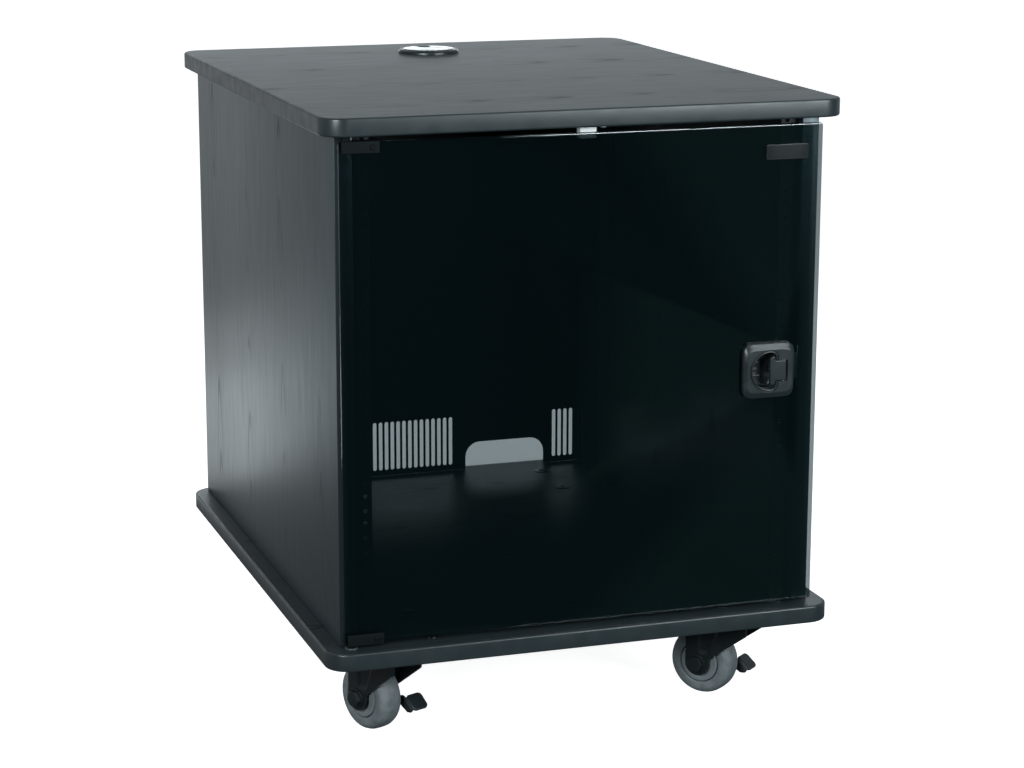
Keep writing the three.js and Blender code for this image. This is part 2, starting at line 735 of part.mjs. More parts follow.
// ---- Whole object ----
const cabinet = new THREE.Group();
addSlabs(cabinet);
addSidePanels(cabinet);
addBackPanel(cabinet);
addRails(cabinet);
addGrommet(cabinet);
addDoorFittings(cabinet);
addDoor(cabinet);
CASTERS.forEach((caster) => addCaster(cabinet, caster));

export default cabinet;
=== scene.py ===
"""Looks for the mobile equipment rack cabinet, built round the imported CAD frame.

Outlines and profiles are in millimetres, and become metres when a mesh is made. Where a piece stands
comes from the frame: its CAD nodes' boxes and its joints.
"""

import json
import math

import bmesh
import bpy
from mathutils import Matrix, Quaternion, Vector
from mathutils.geometry import tessellate_polygon

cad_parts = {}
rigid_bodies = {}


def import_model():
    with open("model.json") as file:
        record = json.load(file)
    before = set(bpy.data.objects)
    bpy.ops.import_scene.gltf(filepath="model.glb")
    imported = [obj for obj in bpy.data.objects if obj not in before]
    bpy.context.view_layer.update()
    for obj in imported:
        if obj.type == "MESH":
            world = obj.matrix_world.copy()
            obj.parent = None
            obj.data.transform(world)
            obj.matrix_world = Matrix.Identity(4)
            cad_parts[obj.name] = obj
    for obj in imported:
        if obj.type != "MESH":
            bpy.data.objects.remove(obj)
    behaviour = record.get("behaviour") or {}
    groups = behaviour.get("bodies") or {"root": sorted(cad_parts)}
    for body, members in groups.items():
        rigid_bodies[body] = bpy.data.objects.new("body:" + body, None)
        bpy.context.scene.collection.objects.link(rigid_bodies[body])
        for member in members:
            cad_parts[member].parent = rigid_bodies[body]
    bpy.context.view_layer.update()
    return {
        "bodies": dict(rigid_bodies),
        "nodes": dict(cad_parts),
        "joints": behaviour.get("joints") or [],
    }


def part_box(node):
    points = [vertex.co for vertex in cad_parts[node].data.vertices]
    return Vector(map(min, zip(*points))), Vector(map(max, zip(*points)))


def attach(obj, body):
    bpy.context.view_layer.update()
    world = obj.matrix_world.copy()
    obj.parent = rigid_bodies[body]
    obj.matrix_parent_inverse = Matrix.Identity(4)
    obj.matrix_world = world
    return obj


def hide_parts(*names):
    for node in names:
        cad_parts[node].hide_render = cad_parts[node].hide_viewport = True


MM = 0.001
TAU = 2 * math.pi

# How an outline's plane is turned: as drawn, upside down, facing the front or back, or seen from the right.
PLAN = Matrix.Identity(4)
OVER = Matrix.Rotation(math.pi, 4, "X")
FACING = Matrix.Rotation(math.radians(90), 4, "X")
REARWARD = Matrix.Rotation(math.radians(-90), 4, "X")
SIDEWAYS = Matrix(((0, 0, 1, 0), (1, 0, 0, 0), (0, 1, 0, 0), (0, 0, 0, 1)))

CASTER_NAMES = ("front_left", "front_right", "rear_left", "rear_right")
UNITS = 12
CUP = 20.0
GLASS_HOLE = 25.4


# ---- Frame ----
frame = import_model()
scene = bpy.context.scene
joints = {joint["name"]: joint for joint in frame["joints"]}


def box_mm(node):
    """Lowest and highest corners of a CAD node, in millimetres."""
    low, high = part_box(node)
    return low / MM, high / MM


def middle_mm(node):
    """Middle of a CAD node's box, in millimetres."""
    low, high = box_mm(node)
    return (low + high) / 2


# ---- Camera ----
def make_camera():
    azimuth, elevation = math.radians(-18.602), math.radians(13.143)
    roll = math.radians(0.112)
    distance, target = 3.061289, Vector((0.026577, 0, 0.3078))
    level = math.cos(elevation)
    back = Vector((math.sin(azimuth) * level, -math.cos(azimuth) * level, math.sin(elevation)))
    data = bpy.data.cameras.new("camera")
    data.sensor_width = 36
    data.lens = 92.4
    data.shift_x, data.shift_y = 0.00157, 0.00201
    camera = bpy.data.objects.new("camera", data)
    camera.location = target + back * distance
    camera.rotation_mode = "QUATERNION"
    camera.rotation_quaternion = (-back).to_track_quat("-Z", "Y") @ Quaternion((0, 0, 1), roll)
    scene.collection.objects.link(camera)
    scene.camera = camera


make_camera()


# ---- Node helpers ----
def node(tree, kind, inputs=None, **settings):
    """A new node with its settings, and its inputs set or linked."""
    made = tree.nodes.new(kind)
    for key, value in settings.items():
        setattr(made, key, value)
    for key, value in (inputs or {}).items():
        if isinstance(value, bpy.types.NodeSocket):
            tree.links.new(value, made.inputs[key])
        else:
            made.inputs[key].default_value = value
    return made


def new_look(name, color, roughness, **sockets):
    """A Principled material, its tree, its shader, and the object's own coordinates."""
    look = bpy.data.materials.new(name)
    look.use_nodes = True
    tree = look.node_tree
    shader = tree.nodes["Principled BSDF"]
    shader.inputs["Base Color"].default_value = (*color, 1)
    shader.inputs["Roughness"].default_value = roughness
    for key, value in sockets.items():
        shader.inputs[key.replace("_", " ")].default_value = value
    place = node(tree, "ShaderNodeTexCoord").outputs["Object"]
    return look, tree, shader, place


def stretched(tree, place, scale):
    return node(tree, "ShaderNodeMapping", {"Vector": place, "Scale": scale}).outputs["Vector"]


def noise(tree, place, scale, detail=2.0, roughness=0.5):
    inputs = {"Vector": place, "Scale": scale, "Detail": detail, "Roughness": roughness}
    return node(tree, "ShaderNodeTexNoise", inputs).outputs["Fac"]


def math_node(tree, operation, a, b=0.0):
    return node(tree, "ShaderNodeMath", {0: a, 1: b}, operation=operation).outputs[0]


def spread(tree, value, low, high, to_low=0.0, to_high=1.0):
    """A value mapped from one range to another, and held inside it."""
    inputs = {"Value": value, "From Min": low, "From Max": high, "To Min": to_low, "To Max": to_high}
    return node(tree, "ShaderNodeMapRange", inputs).outputs["Result"]


def blend_colors(tree, factor, first, second):
    """From the first colour to the second. Each is a socket, or red, green and blue."""
    mixed = node(tree, "ShaderNodeMix", data_type="RGBA")
    sockets = [socket for socket in mixed.inputs if socket.enabled]
    for socket, value in zip(sockets, (factor, first, second)):
        if isinstance(value, bpy.types.NodeSocket):
            tree.links.new(value, socket)
        else:
            socket.default_value = (*value, 1)
    return next(socket for socket in mixed.outputs if socket.enabled)


def bump(tree, shader, height, distance, strength=1.0):
    inputs = {"Height": height, "Distance": distance, "Strength": strength}
    normal = node(tree, "ShaderNodeBump", inputs).outputs["Normal"]
    tree.links.new(normal, shader.inputs["Normal"])


def shade(tree, shader, factor, first, second):
    """The base colour, blended between two."""
    tree.links.new(blend_colors(tree, factor, first, second), shader.inputs["Base Color"])


def roughen(tree, shader, value, low, high, smooth, rough):
    """The roughness, spread over a value's range."""
    tree.links.new(spread(tree, value, low, high, smooth, rough), shader.inputs["Roughness"])


# ---- Materials ----
def cathedral(tree, place, grain):
    """Dark nested arches of a sawn board, in columns that run along the grain."""
    pitch, offset, bend, period = 0.165, 0.085, 450.0, 0.09
    half_column, half_pitch = 0.021, pitch / 2
    wandering, rippling = 0.1 * half_pitch, 0.03
    along_scale = {"X": (1.5, 9, 9), "Z": (9, 9, 1.5)}[grain]
    split = node(tree, "ShaderNodeSeparateXYZ", {0: place})
    wander = noise(tree, stretched(tree, place, along_scale), 1.0, 1.5)
    drift = spread(tree, wander, 0.3, 0.7, -wandering - offset, wandering - offset)
    column = math_node(tree, "ADD", split.outputs["Y"], drift)
    wrapping = {0: column, 1: half_pitch, 2: -half_pitch}
    column = node(tree, "ShaderNodeMath", wrapping, operation="WRAP").outputs[0]
    squared = math_node(tree, "MULTIPLY", column, column)
    arch = math_node(tree, "ADD", split.outputs[grain], math_node(tree, "MULTIPLY", squared, bend))
    ripple = noise(tree, stretched(tree, place, along_scale), 6.0, 3.0, 0.6)
    arch = math_node(tree, "ADD", arch, math_node(tree, "MULTIPLY", ripple, rippling))
    rings = math_node(tree, "SINE", math_node(tree, "MULTIPLY", arch, TAU / period))
    inside = spread(tree, math_node(tree, "ABSOLUTE", column), 0.35 * half_column, half_column, 1.0, 0.0)
    return math_node(tree, "MULTIPLY", spread(tree, rings, 0.55, 1.0), inside)


def ash_laminate(name, grain, roughness):
    """Black ash wood-grain laminate, its grain along X or Z."""
    cool = (0.8, 0.95, 1, 1)
    look, tree, shader, place = new_look(name, (0.016, 0.021, 0.023), roughness, Specular_Tint=cool)
    along = {"X": (0.05, 1, 1), "Z": (1, 1, 0.05)}[grain]
    patches = noise(tree, stretched(tree, place, (0.5, 0.5, 0.5)), 26.0, 2.0)
    figure = math_node(tree, "MULTIPLY", cathedral(tree, place, grain), spread(tree, patches, 0.4, 0.6))
    streaks = noise(tree, stretched(tree, place, along), 260.0, 3.0, 0.6)
    pores = spread(tree, streaks, 0.4, 0.75)
    figure_share = math_node(tree, "MULTIPLY", figure, 0.65)
    pore_share = math_node(tree, "MULTIPLY", pores, 0.3)
    marked = math_node(tree, "ADD", figure_share, pore_share)
    shade(tree, shader, marked, (0.018, 0.024, 0.0275), (0.007, 0.009, 0.01))
    roughen(tree, shader, marked, 0, 1, roughness, roughness + 0.2)
    tree.links.new(spread(tree, marked, 0, 1, 0.5, 0.26), shader.inputs["Specular IOR Level"])
    bump(tree, shader, math_node(tree, "SUBTRACT", 1.0, marked), 0.00004, 0.5)
    return look


def satin_edge():
    """T-moulding: satin black plastic with a faint moulded texture."""
    look, tree, shader, place = new_look("edge_band", (0.018, 0.024, 0.027), 0.34)
    soft = noise(tree, place, 60.0, 3.0)
    grain = noise(tree, place, 1400.0, 2.0)
    roughen(tree, shader, soft, 0.3, 0.7, 0.3, 0.4)
    shade(tree, shader, soft, (0.015, 0.021, 0.023), (0.022, 0.028, 0.031))
    bump(tree, shader, grain, 0.00002, 0.5)
    return look


def powder_coat():
    """Black powder-coated steel."""
    look, tree, shader, place = new_look("black_steel", (0.008, 0.011, 0.012), 0.42, Specular_IOR_Level=0.28)
    pebble = noise(tree, place, 1100.0, 1.5)
    cloud = noise(tree, place, 35.0, 3.0)
    shade(tree, shader, cloud, (0.006, 0.009, 0.0095), (0.011, 0.014, 0.0155))
    roughen(tree, shader, cloud, 0.3, 0.7, 0.36, 0.5)
    bump(tree, shader, pebble, 0.00003, 0.7)
    return look


def plated(name, dark, light):
    """Plated steel, faintly brushed and stained."""
    look, tree, shader, place = new_look(name, light, 0.3, Metallic=1.0)
    brushed = noise(tree, stretched(tree, place, (1, 1, 0.2)), 900.0, 2.0)
    stain = noise(tree, place, 160.0, 3.0)
    shade(tree, shader, stain, dark, light)
    roughen(tree, shader, brushed, 0.3, 0.7, 0.22, 0.42)
    bump(tree, shader, brushed, 0.00001, 0.4)
    return look


def moulded_plastic(name, dark, light, roughness, texture=0.00002, gloss=0.5):
    """Injection-moulded plastic, or a matt coat, with a fine spark-eroded texture."""
    look, tree, shader, place = new_look(name, dark, roughness, Specular_IOR_Level=gloss)
    grain = noise(tree, place, 1700.0, 2.0)
    cloud = noise(tree, place, 70.0, 3.0)
    shade(tree, shader, cloud, dark, light)
    roughen(tree, shader, cloud, 0.3, 0.7, roughness - 0.05, roughness + 0.05)
    bump(tree, shader, grain, texture, 0.6)
    return look


def grey_rubber():
    """Soft grey tread rubber, slightly dusty."""
    look, tree, shader, place = new_look("grey_rubber", (0.13, 0.145, 0.15), 0.5)
    dust = noise(tree, place, 120.0, 4.0, 0.6)
    grain = noise(tree, place, 900.0, 2.0)
    shade(tree, shader, spread(tree, dust, 0.35, 0.7), (0.11, 0.122, 0.128), (0.165, 0.18, 0.187))
    roughen(tree, shader, dust, 0.3, 0.7, 0.46, 0.64)
    bump(tree, shader, grain, 0.00004, 0.5)
    return look


def tinted_glass():
    """Smoked glass: half of each face is clear and tinted, and half a dark polished surface."""
    look, tree, shader, place = new_look("tinted_glass", (0.001, 0.003, 0.0035), 0.02, Specular_IOR_Level=1.0)
    smudge = noise(tree, place, 9.0, 4.0, 0.6)
    roughen(tree, shader, smudge, 0.45, 0.8, 0.01, 0.05)
    clear = node(tree, "ShaderNodeBsdfTransparent", {"Color": (0.79, 0.85, 0.87, 1)})
    mixed = node(tree, "ShaderNodeMixShader", {0: 0.5, 1: clear.outputs[0], 2: shader.outputs[0]})
    output = next(n for n in tree.nodes if n.type == "OUTPUT_MATERIAL")
    tree.links.new(mixed.outputs[0], output.inputs["Surface"])
    return look


def glass_edge():
    """The ground and polished edge of the pane, which scatters light."""
    look, tree, shader, place = new_look("glass_edge", (0.03, 0.04, 0.04), 0.5, Specular_IOR_Level=0.05)
    ground = noise(tree, place, 700.0, 3.0)
    shade(tree, shader, ground, (0.02, 0.032, 0.032), (0.045, 0.06, 0.06))
    bump(tree, shader, ground, 0.00002, 0.5)
    return look


ASH_X = ash_laminate("black_ash_across", "X", 0.42)
ASH_Z = ash_laminate("black_ash_upright", "Z", 0.3)
EDGE = satin_edge()
STEEL = powder_coat()
ZINC = plated("zinc_plate", (0.42, 0.45, 0.47), (0.66, 0.69, 0.7))
BLACK_ZINC = plated("black_zinc", (0.03, 0.034, 0.036), (0.06, 0.066, 0.07))
MATT_STEEL = moulded_plastic(
    "matt_black_steel", (0.002, 0.0035, 0.004), (0.004, 0.006, 0.007), 0.6, gloss=0.12
)
EDGE_TAPE = moulded_plastic("edge_tape", (0.007, 0.01, 0.011), (0.012, 0.016, 0.018), 0.55, gloss=0.2)
BADGE = moulded_plastic("badge_black", (0.004, 0.006, 0.0065), (0.006, 0.008, 0.009), 0.35, gloss=0.2)
DARK_NYLON = moulded_plastic("dark_grey_nylon", (0.035, 0.043, 0.046), (0.05, 0.058, 0.062), 0.5)
PLASTIC = moulded_plastic("black_plastic", (0.012, 0.016, 0.018), (0.018, 0.023, 0.026), 0.33)
GLOSS = moulded_plastic("glossy_black_plastic", (0.01, 0.014, 0.016), (0.014, 0.018, 0.02), 0.2, 0.000006)
GREY_NYLON = moulded_plastic("grey_nylon", (0.13, 0.145, 0.15), (0.17, 0.187, 0.195), 0.42)
WHITE_NYLON = moulded_plastic("white_nylon", (0.78, 0.79, 0.77), (0.86, 0.87, 0.85), 0.42)
RUBBER = grey_rubber()
GLASS = tinted_glass()
GLASS_EDGE = glass_edge()


# ---- Outlines, in millimetres ----
def arc(x, y, radius, start, end, steps=8):
    """Points on an arc, by angles in degrees."""
    angles = [math.radians(start + (end - start) * k / steps) for k in range(steps + 1)]
    return [(x + radius * math.cos(a), y + radius * math.sin(a)) for a in angles]


def circle(radius, x=0.0, y=0.0, count=48):
    return arc(x, y, radius, 0, 360, count)[:-1]


def filleted(corners, steps=6):
    """An outline from (x, y) or (x, y, radius) corners, with the corners that have a radius rounded."""
    points = []
    for i, (x, y, *radius) in enumerate(corners):
        if not radius:
            points.append((x, y))
            continue
        here = Vector((x, y))
        before = (Vector(corners[i - 1][:2]) - here).normalized()
        after = (Vector(corners[(i + 1) % len(corners)][:2]) - here).normalized()
        half = before.angle(after) / 2
        centre = here + (before + after).normalized() * (radius[0] / math.sin(half))
        start = here + before * (radius[0] / math.tan(half)) - centre
        end = here + after * (radius[0] / math.tan(half)) - centre
        first = math.atan2(start.y, start.x)
        sweep = math.remainder(math.atan2(end.y, end.x) - first, TAU)
        for k in range(steps + 1):
            angle = first + sweep * k / steps
            points.append((centre.x + radius[0] * math.cos(angle), centre.y + radius[0] * math.sin(angle)))
    return points


def rounded_rect(x0, x1, y0, y1, radius, steps=6):
    corners = [(x0, y0), (x1, y0), (x1, y1), (x0, y1)]
    return filleted([(x, y, radius) for x, y in corners], steps)


def upright_slot(x, low, high, width, steps=10):
    radius = width / 2
    return arc(x, high - radius, radius, 0, 180, steps) + arc(x, low + radius, radius, 180, 360, steps)


def squircle(half_width, half_height, power=7, count=128):
    """A square with slightly bulging sides and tight round corners."""
    points = []
    for k in range(count):
        c, s = math.cos(TAU * k / count), math.sin(TAU * k / count)
        x = half_width * math.copysign(abs(c) ** (2 / power), c)
        points.append((x, half_height * math.copysign(abs(s) ** (2 / power), s)))
    return points


def area(outline):
    pairs = zip(outline, outline[1:] + outline[:1])
    return sum(a[0] * b[1] - b[0] * a[1] for a, b in pairs) / 2


def inset(outline, distance):
    """The outline moved to its left: inwards, for one that runs anticlockwise."""
    moved = []
    for i, (x, y) in enumerate(outline):
        before, after = outline[i - 1], outline[(i + 1) % len(outline)]
        a = Vector((x - before[0], y - before[1])).normalized()
        b = Vector((after[0] - x, after[1] - y)).normalized()
        across = Vector((-a.y - b.y, a.x + b.x)) / max(0.3, 1 + a.dot(b))
        moved.append((x + across.x * distance, y + across.y * distance))
    return moved


# ---- Meshes ----
def to_mesh(bm, sharp=32):
    bmesh.ops.recalc_face_normals(bm, faces=bm.faces)
    mesh = bpy.data.meshes.new("mesh")
    bm.to_mesh(mesh)
    bm.free()
    mesh.set_sharp_from_angle(angle=math.radians(sharp))
    return mesh


def ring(bm, outline, height):
    return [bm.verts.new((x * MM, y * MM, height * MM)) for x, y in outline]


def bridge(bm, first, second, material=0):
    for i in range(len(first)):
        j = (i + 1) % len(first)
        face = bm.faces.new((first[i], first[j], second[j], second[i]))
        face.smooth = True
        face.material_index = material


def cap(bm, rings):
    """A flat face inside the first ring and outside the others."""
    flat = [v for loop in rings for v in loop]
    for triangle in tessellate_polygon([[v.co for v in loop] for loop in rings]):
        bm.faces.new([flat[i] for i in triangle])


def edge_levels(low, high, edge, steps, flat):
    """(inset, height) from one face to the other, round the edges of a plate, with a flat margin or none."""
    if edge <= 0:
        return [(0, low), (0, high)]
    turns = [math.radians(90 * k / steps) for k in range(steps + 1)]
    bottom = [(edge + flat, low)] if flat else []
    bottom += [(edge * (1 - math.sin(t)), low + edge * (1 - math.cos(t))) for t in turns]
    top = [(d, low + high - z) for d, z in reversed(bottom)]
    return bottom + top


def plate(outlines, low, high, edge=0.0, steps=3, rim=0, flat=0.0):
    """A flat piece between two heights, from an outer outline and its holes, with rounded edges."""
    outer, *holes = outlines
    loops = [outer if area(outer) > 0 else outer[::-1]]
    loops += [hole if area(hole) < 0 else hole[::-1] for hole in holes]
    bm = bmesh.new()
    levels = edge_levels(low, high, edge, steps, flat)
    lowest, highest = [], []
    for loop in loops:
        rings = [ring(bm, inset(loop, distance), height) for distance, height in levels]
        for first, second in zip(rings, rings[1:]):
            bridge(bm, first, second, rim)
        lowest.append(rings[0])
        highest.append(rings[-1])
    cap(bm, lowest)
    cap(bm, highest)
    return to_mesh(bm)


def moulding(outline, profile):
    """A closed (inset, height) profile run round an outline."""
    bm = bmesh.new()
    rings = [ring(bm, inset(outline, distance), height) for distance, height in profile]
    for first, second in zip(rings, rings[1:] + rings[:1]):
        bridge(bm, first, second)
    return to_mesh(bm)


def lathe(profile, count=72, closed=False, sharp=32):
    """A solid turned about Z from (radius, height) points. It starts and ends on the axis, or is closed."""
    bm = bmesh.new()
    rings = []
    for radius, height in profile:
        if radius < 1e-6:
            rings.append([bm.verts.new((0, 0, height * MM))])
        else:
            rings.append(ring(bm, circle(radius, count=count), height))
    pairs = list(zip(rings, rings[1:]))
    if closed:
        pairs.append((rings[-1], rings[0]))
    for first, second in pairs:
        m, n = len(first), len(second)
        for i in range(count):
            j = (i + 1) % count
            corners = [first[i % m], first[j % m], second[j % n], second[i % n]]
            bm.faces.new(list(dict.fromkeys(corners))).smooth = True
    return to_mesh(bm, sharp)


def placed(mesh, turn=PLAN, at=(0, 0, 0)):
    """The mesh turned, then moved to a point in millimetres."""
    mesh.transform(Matrix.Translation(Vector(at) * MM) @ turn)
    return mesh


def copied(mesh, turn=PLAN, at=(0, 0, 0)):
    return placed(mesh.copy(), turn, at)


def joined(*meshes):
    """Several closed shells as one mesh."""
    bm = bmesh.new()
    for mesh in meshes:
        bm.from_mesh(mesh)
        bpy.data.meshes.remove(mesh)
    whole = bpy.data.meshes.new("mesh")
    bm.to_mesh(whole)
    bm.free()
    return whole


def evaluated(helper, sharp):
    """A helper object's mesh after its modifiers. The helper is removed."""
    depsgraph = bpy.context.evaluated_depsgraph_get()
    result = bpy.data.meshes.new_from_object(helper.evaluated_get(depsgraph), depsgraph=depsgraph)
    bpy.data.objects.remove(helper)
    result.set_sharp_from_angle(angle=math.radians(sharp))
    return result


def combined(mesh, operation, *tools, sharp=32):
    """The mesh after a boolean with each tool mesh."""
    body = bpy.data.objects.new("body", mesh)
    scene.collection.objects.link(body)
    helpers = []
    for tool in tools:
        helper = bpy.data.objects.new("tool", tool)
        scene.collection.objects.link(helper)
        helpers.append(helper)
        modifier = body.modifiers.new("boolean", "BOOLEAN")
        modifier.operation = operation
        modifier.solver = "EXACT"
        modifier.object = helper
    bpy.context.view_layer.update()
    result = evaluated(body, sharp)
    for helper in helpers:
        bpy.data.objects.remove(helper)
    return result


def carved(mesh, *tools, sharp=32):
    return combined(mesh, "DIFFERENCE", *tools, sharp=sharp)


def block(x, y, z, edge=0.3):
    """A box between (low, high) pairs, with rounded edges."""
    return plate([rounded_rect(*x, *y, max(edge, 0.05), 4)], *z, edge)


def add(name, mesh, looks, body, slot, *nodes):
    """A named piece that rides on a body and stands for CAD nodes, which it hides. The slot argument is not
    used.
    """
    looks = looks if isinstance(looks, tuple) else (looks,)
    mesh.name = name
    mesh.materials.clear()
    for look in looks:
        mesh.materials.append(look)
    if len(looks) == 1:
        mesh.polygons.foreach_set("material_index", [0] * len(mesh.polygons))
    piece = bpy.data.objects.new(name, mesh)
    scene.collection.objects.link(piece)
    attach(piece, body)
    if nodes:
        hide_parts(*nodes)


def keep(name, look):
    """A CAD node shown as it is, with a finished material."""
    mesh = frame["nodes"][name].data
    mesh.materials.clear()
    mesh.materials.append(look)


# ---- Fasteners ----
def pan_head(radius, height):
    """A pan-head screw with a cross recess, standing up from Z 0."""
    dome = filleted([(0, 0), (radius, 0), (radius, height, height * 0.6), (0, height)])
    head = lathe(dome, 32)
    wing = radius * 0.55
    bar = (-radius * 0.13, radius * 0.13)
    depth = (height * 0.35, height + 1)
    cross = [plate([rounded_rect(-wing, wing, *bar, 0.05, 2)], *depth)]
    cross.append(plate([rounded_rect(*bar, -wing, wing, 0.05, 2)], *depth))
    return carved(head, *cross)


def hex_head(radius, height):
    """A hexagon head with chamfered corners, standing up from Z 0 on a washer face."""
    base = 1.2
    prism = plate([circle(radius, count=6)], base, height, 0.25)
    cone = [(0, base - 1), (radius + 1, base - 1), (radius + 1, height - radius * 0.22)]
    cone += [(radius * 0.86, height, 0.3), (0, height)]
    head = combined(prism, "INTERSECT", lathe(filleted(cone), 48))
    flange = filleted([(0, 0), (radius * 1.12, 0), (radius * 1.12, base, 0.4), (0, base)])
    return joined(head, lathe(flange, 48))


def stud(radius, low, high, pitch=1.2):
    """A threaded rod about Z with its end chamfered."""
    profile = [(0, low)]
    height = low
    while height + pitch < high - 0.4:
        profile += [(radius, height + 0.1), (radius - 0.45, height + pitch / 2)]
        height += pitch
    profile += [(radius, height + 0.1), (radius - 0.6, high), (0, high)]
    return lathe(profile, 32, sharp=50)


# ---- Carcass ----
def add_slab(node_name, band_name, name):
    low, high = box_mm(band_name)
    outline = rounded_rect(low.x, high.x, low.y, high.y, 25.4, 16)
    band, bead = 2.4, 2.2
    section = filleted([(0, low.z, bead), (0, high.z, bead), (band, high.z), (band, low.z)], 6)
    add(name, moulding(outline, section), EDGE, "root", "edge_band", band_name)
    keep(node_name, ASH_X)


def add_side(side):
    node_name = f"{side}_side_panel"
    low, high = box_mm(node_name)
    outline = rounded_rect(low.y, high.y, low.z, high.z, 0.6, 3)
    board = placed(plate([outline], low.x, high.x, 0.6, 3, rim=1), SIDEWAYS)
    add(f"{side}_side_board", board, (ASH_Z, EDGE_TAPE), "root", "black_ash_laminate", node_name)


def vent_centres():
    """Middle of each upright slot: one group in the middle, and one by each wall."""
    pitch, middle, outer, outer_start = 7.82, 15, 4, 196.4
    centres = [(i - (middle - 1) / 2) * pitch for i in range(middle)]
    for i in range(outer):
        centres += [outer_start + i * pitch, -outer_start - i * pitch]
    return centres


def add_back():
    low, high = box_mm("back_panel")
    floor, ceiling = low.z - 0.3, high.z + 0.3
    near, far, slot_width = 7.5, 71, 5
    notch_middle, notch_width, notch_height, corner = 128.5, 107, 35.5, 19.5
    holes = []
    for x in vent_centres():
        holes.append(upright_slot(x, floor + near, floor + far, slot_width))
        holes.append(upright_slot(x, ceiling - far, ceiling - near, slot_width))
    outer = [(low.x, low.z), (high.x, low.z), (high.x, high.z), (low.x, high.z)]
    for x in (notch_middle, -notch_middle):
        left, right = x - notch_width / 2, x + notch_width / 2
        top = floor + notch_height
        mouth = [(left, low.z), (left, top, corner), (right, top, corner), (right, low.z)]
        at = 1 if x > 0 else next(i for i, p in enumerate(outer) if p[0] > 0)
        outer[at:at] = mouth
    sheet = plate([filleted(outer, 12), *holes], -high.y, -low.y, 0.25, 2)
    add("back_sheet", placed(sheet, FACING), STEEL, "root", "black_steel", "back_panel")
    screw = placed(pan_head(4.2, 2.3), REARWARD)
    screws = []
    for x in (low.x + 8, high.x - 8):
        for k in range(5):
            z = low.z + 12 + k * (high.z - low.z - 24) / 4
            screws.append(copied(screw, at=(x, high.y, z)))
    add("back_sheet_screws", joined(*screws), STEEL, "root", "black_steel")


# ---- Rack rails ----
def rail_holes(side, depth):
    """Cutters for three tapped holes in each of the twelve units."""
    floor = box_mm("bottom_panel")[1].z
    unit, line = 44.45, 465.1 / 2
    cutters = []
    for u in range(UNITS):
        for height in (6.35, unit / 2, 38.1):
            hole = lathe([(0, -depth), (2.5, -depth), (2.5, depth), (0, depth)], 16)
            cutters.append(placed(hole, FACING, (side * line, 0, floor + u * unit + height)))
    return joined(*cutters)


def add_rail(name, section, side, face):
    low, high = box_mm(name)
    bar = plate([filleted(section, 5)], low.z, high.z, 0.2, 1)
    holes = placed(rail_holes(side, 6), at=(0, face, 0))
    add(f"{name}_section", carved(bar, holes), STEEL, "root", "black_steel", name)


def add_rails():
    sheet, bend = 2.3, 2.6
    for side, word in ((-1, "left"), (1, "right")):
        for end in ("front", "rear"):
            name = f"{end}_{word}_rail"
            low, high = box_mm(name)
            inner, wall = (high.x, low.x) if side < 0 else (low.x, high.x)
            web = wall - side * sheet
            flange = low.y + sheet
            lip = wall - side * 15.7
            angle_iron = [(wall, high.y, 0.3), (web, high.y, 0.3)]
            channel = [(wall, high.y, bend), (lip, high.y, 0.3), (lip, high.y - sheet, 0.3)]
            channel.append((web, high.y - sheet, bend - 2))
            section = [(inner, low.y, 0.3), (wall, low.y, bend)]
            section += angle_iron if end == "front" else channel
            section += [(web, flange, bend - 2), (inner, flange, 0.3)]
            add_rail(name, section, side, low.y)
        add_rail_screws(word, side)


def add_rail_screws(word, side):
    """Wood screws through each rail's web into the side board."""
    towards_middle = Matrix.Rotation(math.radians(-90 * side), 4, "Y")
    head = placed(pan_head(4.5, 2.4), towards_middle)
    screws = []
    for end, middle in (("front", 0.62), ("rear", 0.5)):
        low, high = box_mm(f"{end}_{word}_rail")
        wall = high.x if side > 0 else low.x
        y = low.y + (high.y - low.y) * middle
        for k in range(4):
            z = low.z + 40 + k * (high.z - low.z - 80) / 3
            screws.append(copied(head, at=(wall - side * 2.3, y, z)))
    add(f"{word}_rail_screws", joined(*screws), ZINC, "root", "zinc_plate")


# ---- Cable grommet ----
def add_grommet():
    x, y = middle_mm("grommet_ring").xy
    base = box_mm("grommet_ring")[1].z - 4
    bore, barrel, flange, cap_radius = 29.5, 31.7, 36.3, 30.8
    seat = cap_radius + 0.4
    profile = [(bore, -17), (barrel, -17), (barrel, -0.2), (flange, -0.2), (flange, 3.9, 2.6)]
    profile += [(seat, 4.0, 0.5), (seat, 1.2), (bore, 1.2)]
    ring_mesh = placed(lathe(filleted(profile), 120, closed=True), at=(x, y, base))
    add("grommet_collar", ring_mesh, PLASTIC, "root", "black_plastic", "grommet_ring")

    skirt = bore - 0.6
    dish = [(0, 1.8), (skirt - 2, 1.8), (skirt - 2, -5), (skirt, -5), (skirt, 1.5)]
    dish += [(cap_radius, 1.5, 0.3), (cap_radius, 4.6, 1.1), (cap_radius - 5, 4.75, 3), (0, 4.9)]
    mouth, throat = 8, 18
    notch = arc(0, throat, mouth, 180, 360, 20) + [(mouth, cap_radius + 3), (-mouth, cap_radius + 3)]
    cap_mesh = carved(lathe(filleted(dish), 120), plate([notch], -8, 8), sharp=40)
    placed(cap_mesh, at=(x, y, base))
    add("grommet_lid", cap_mesh, GLOSS, "grommet_cap", "black_plastic", "grommet_cap")


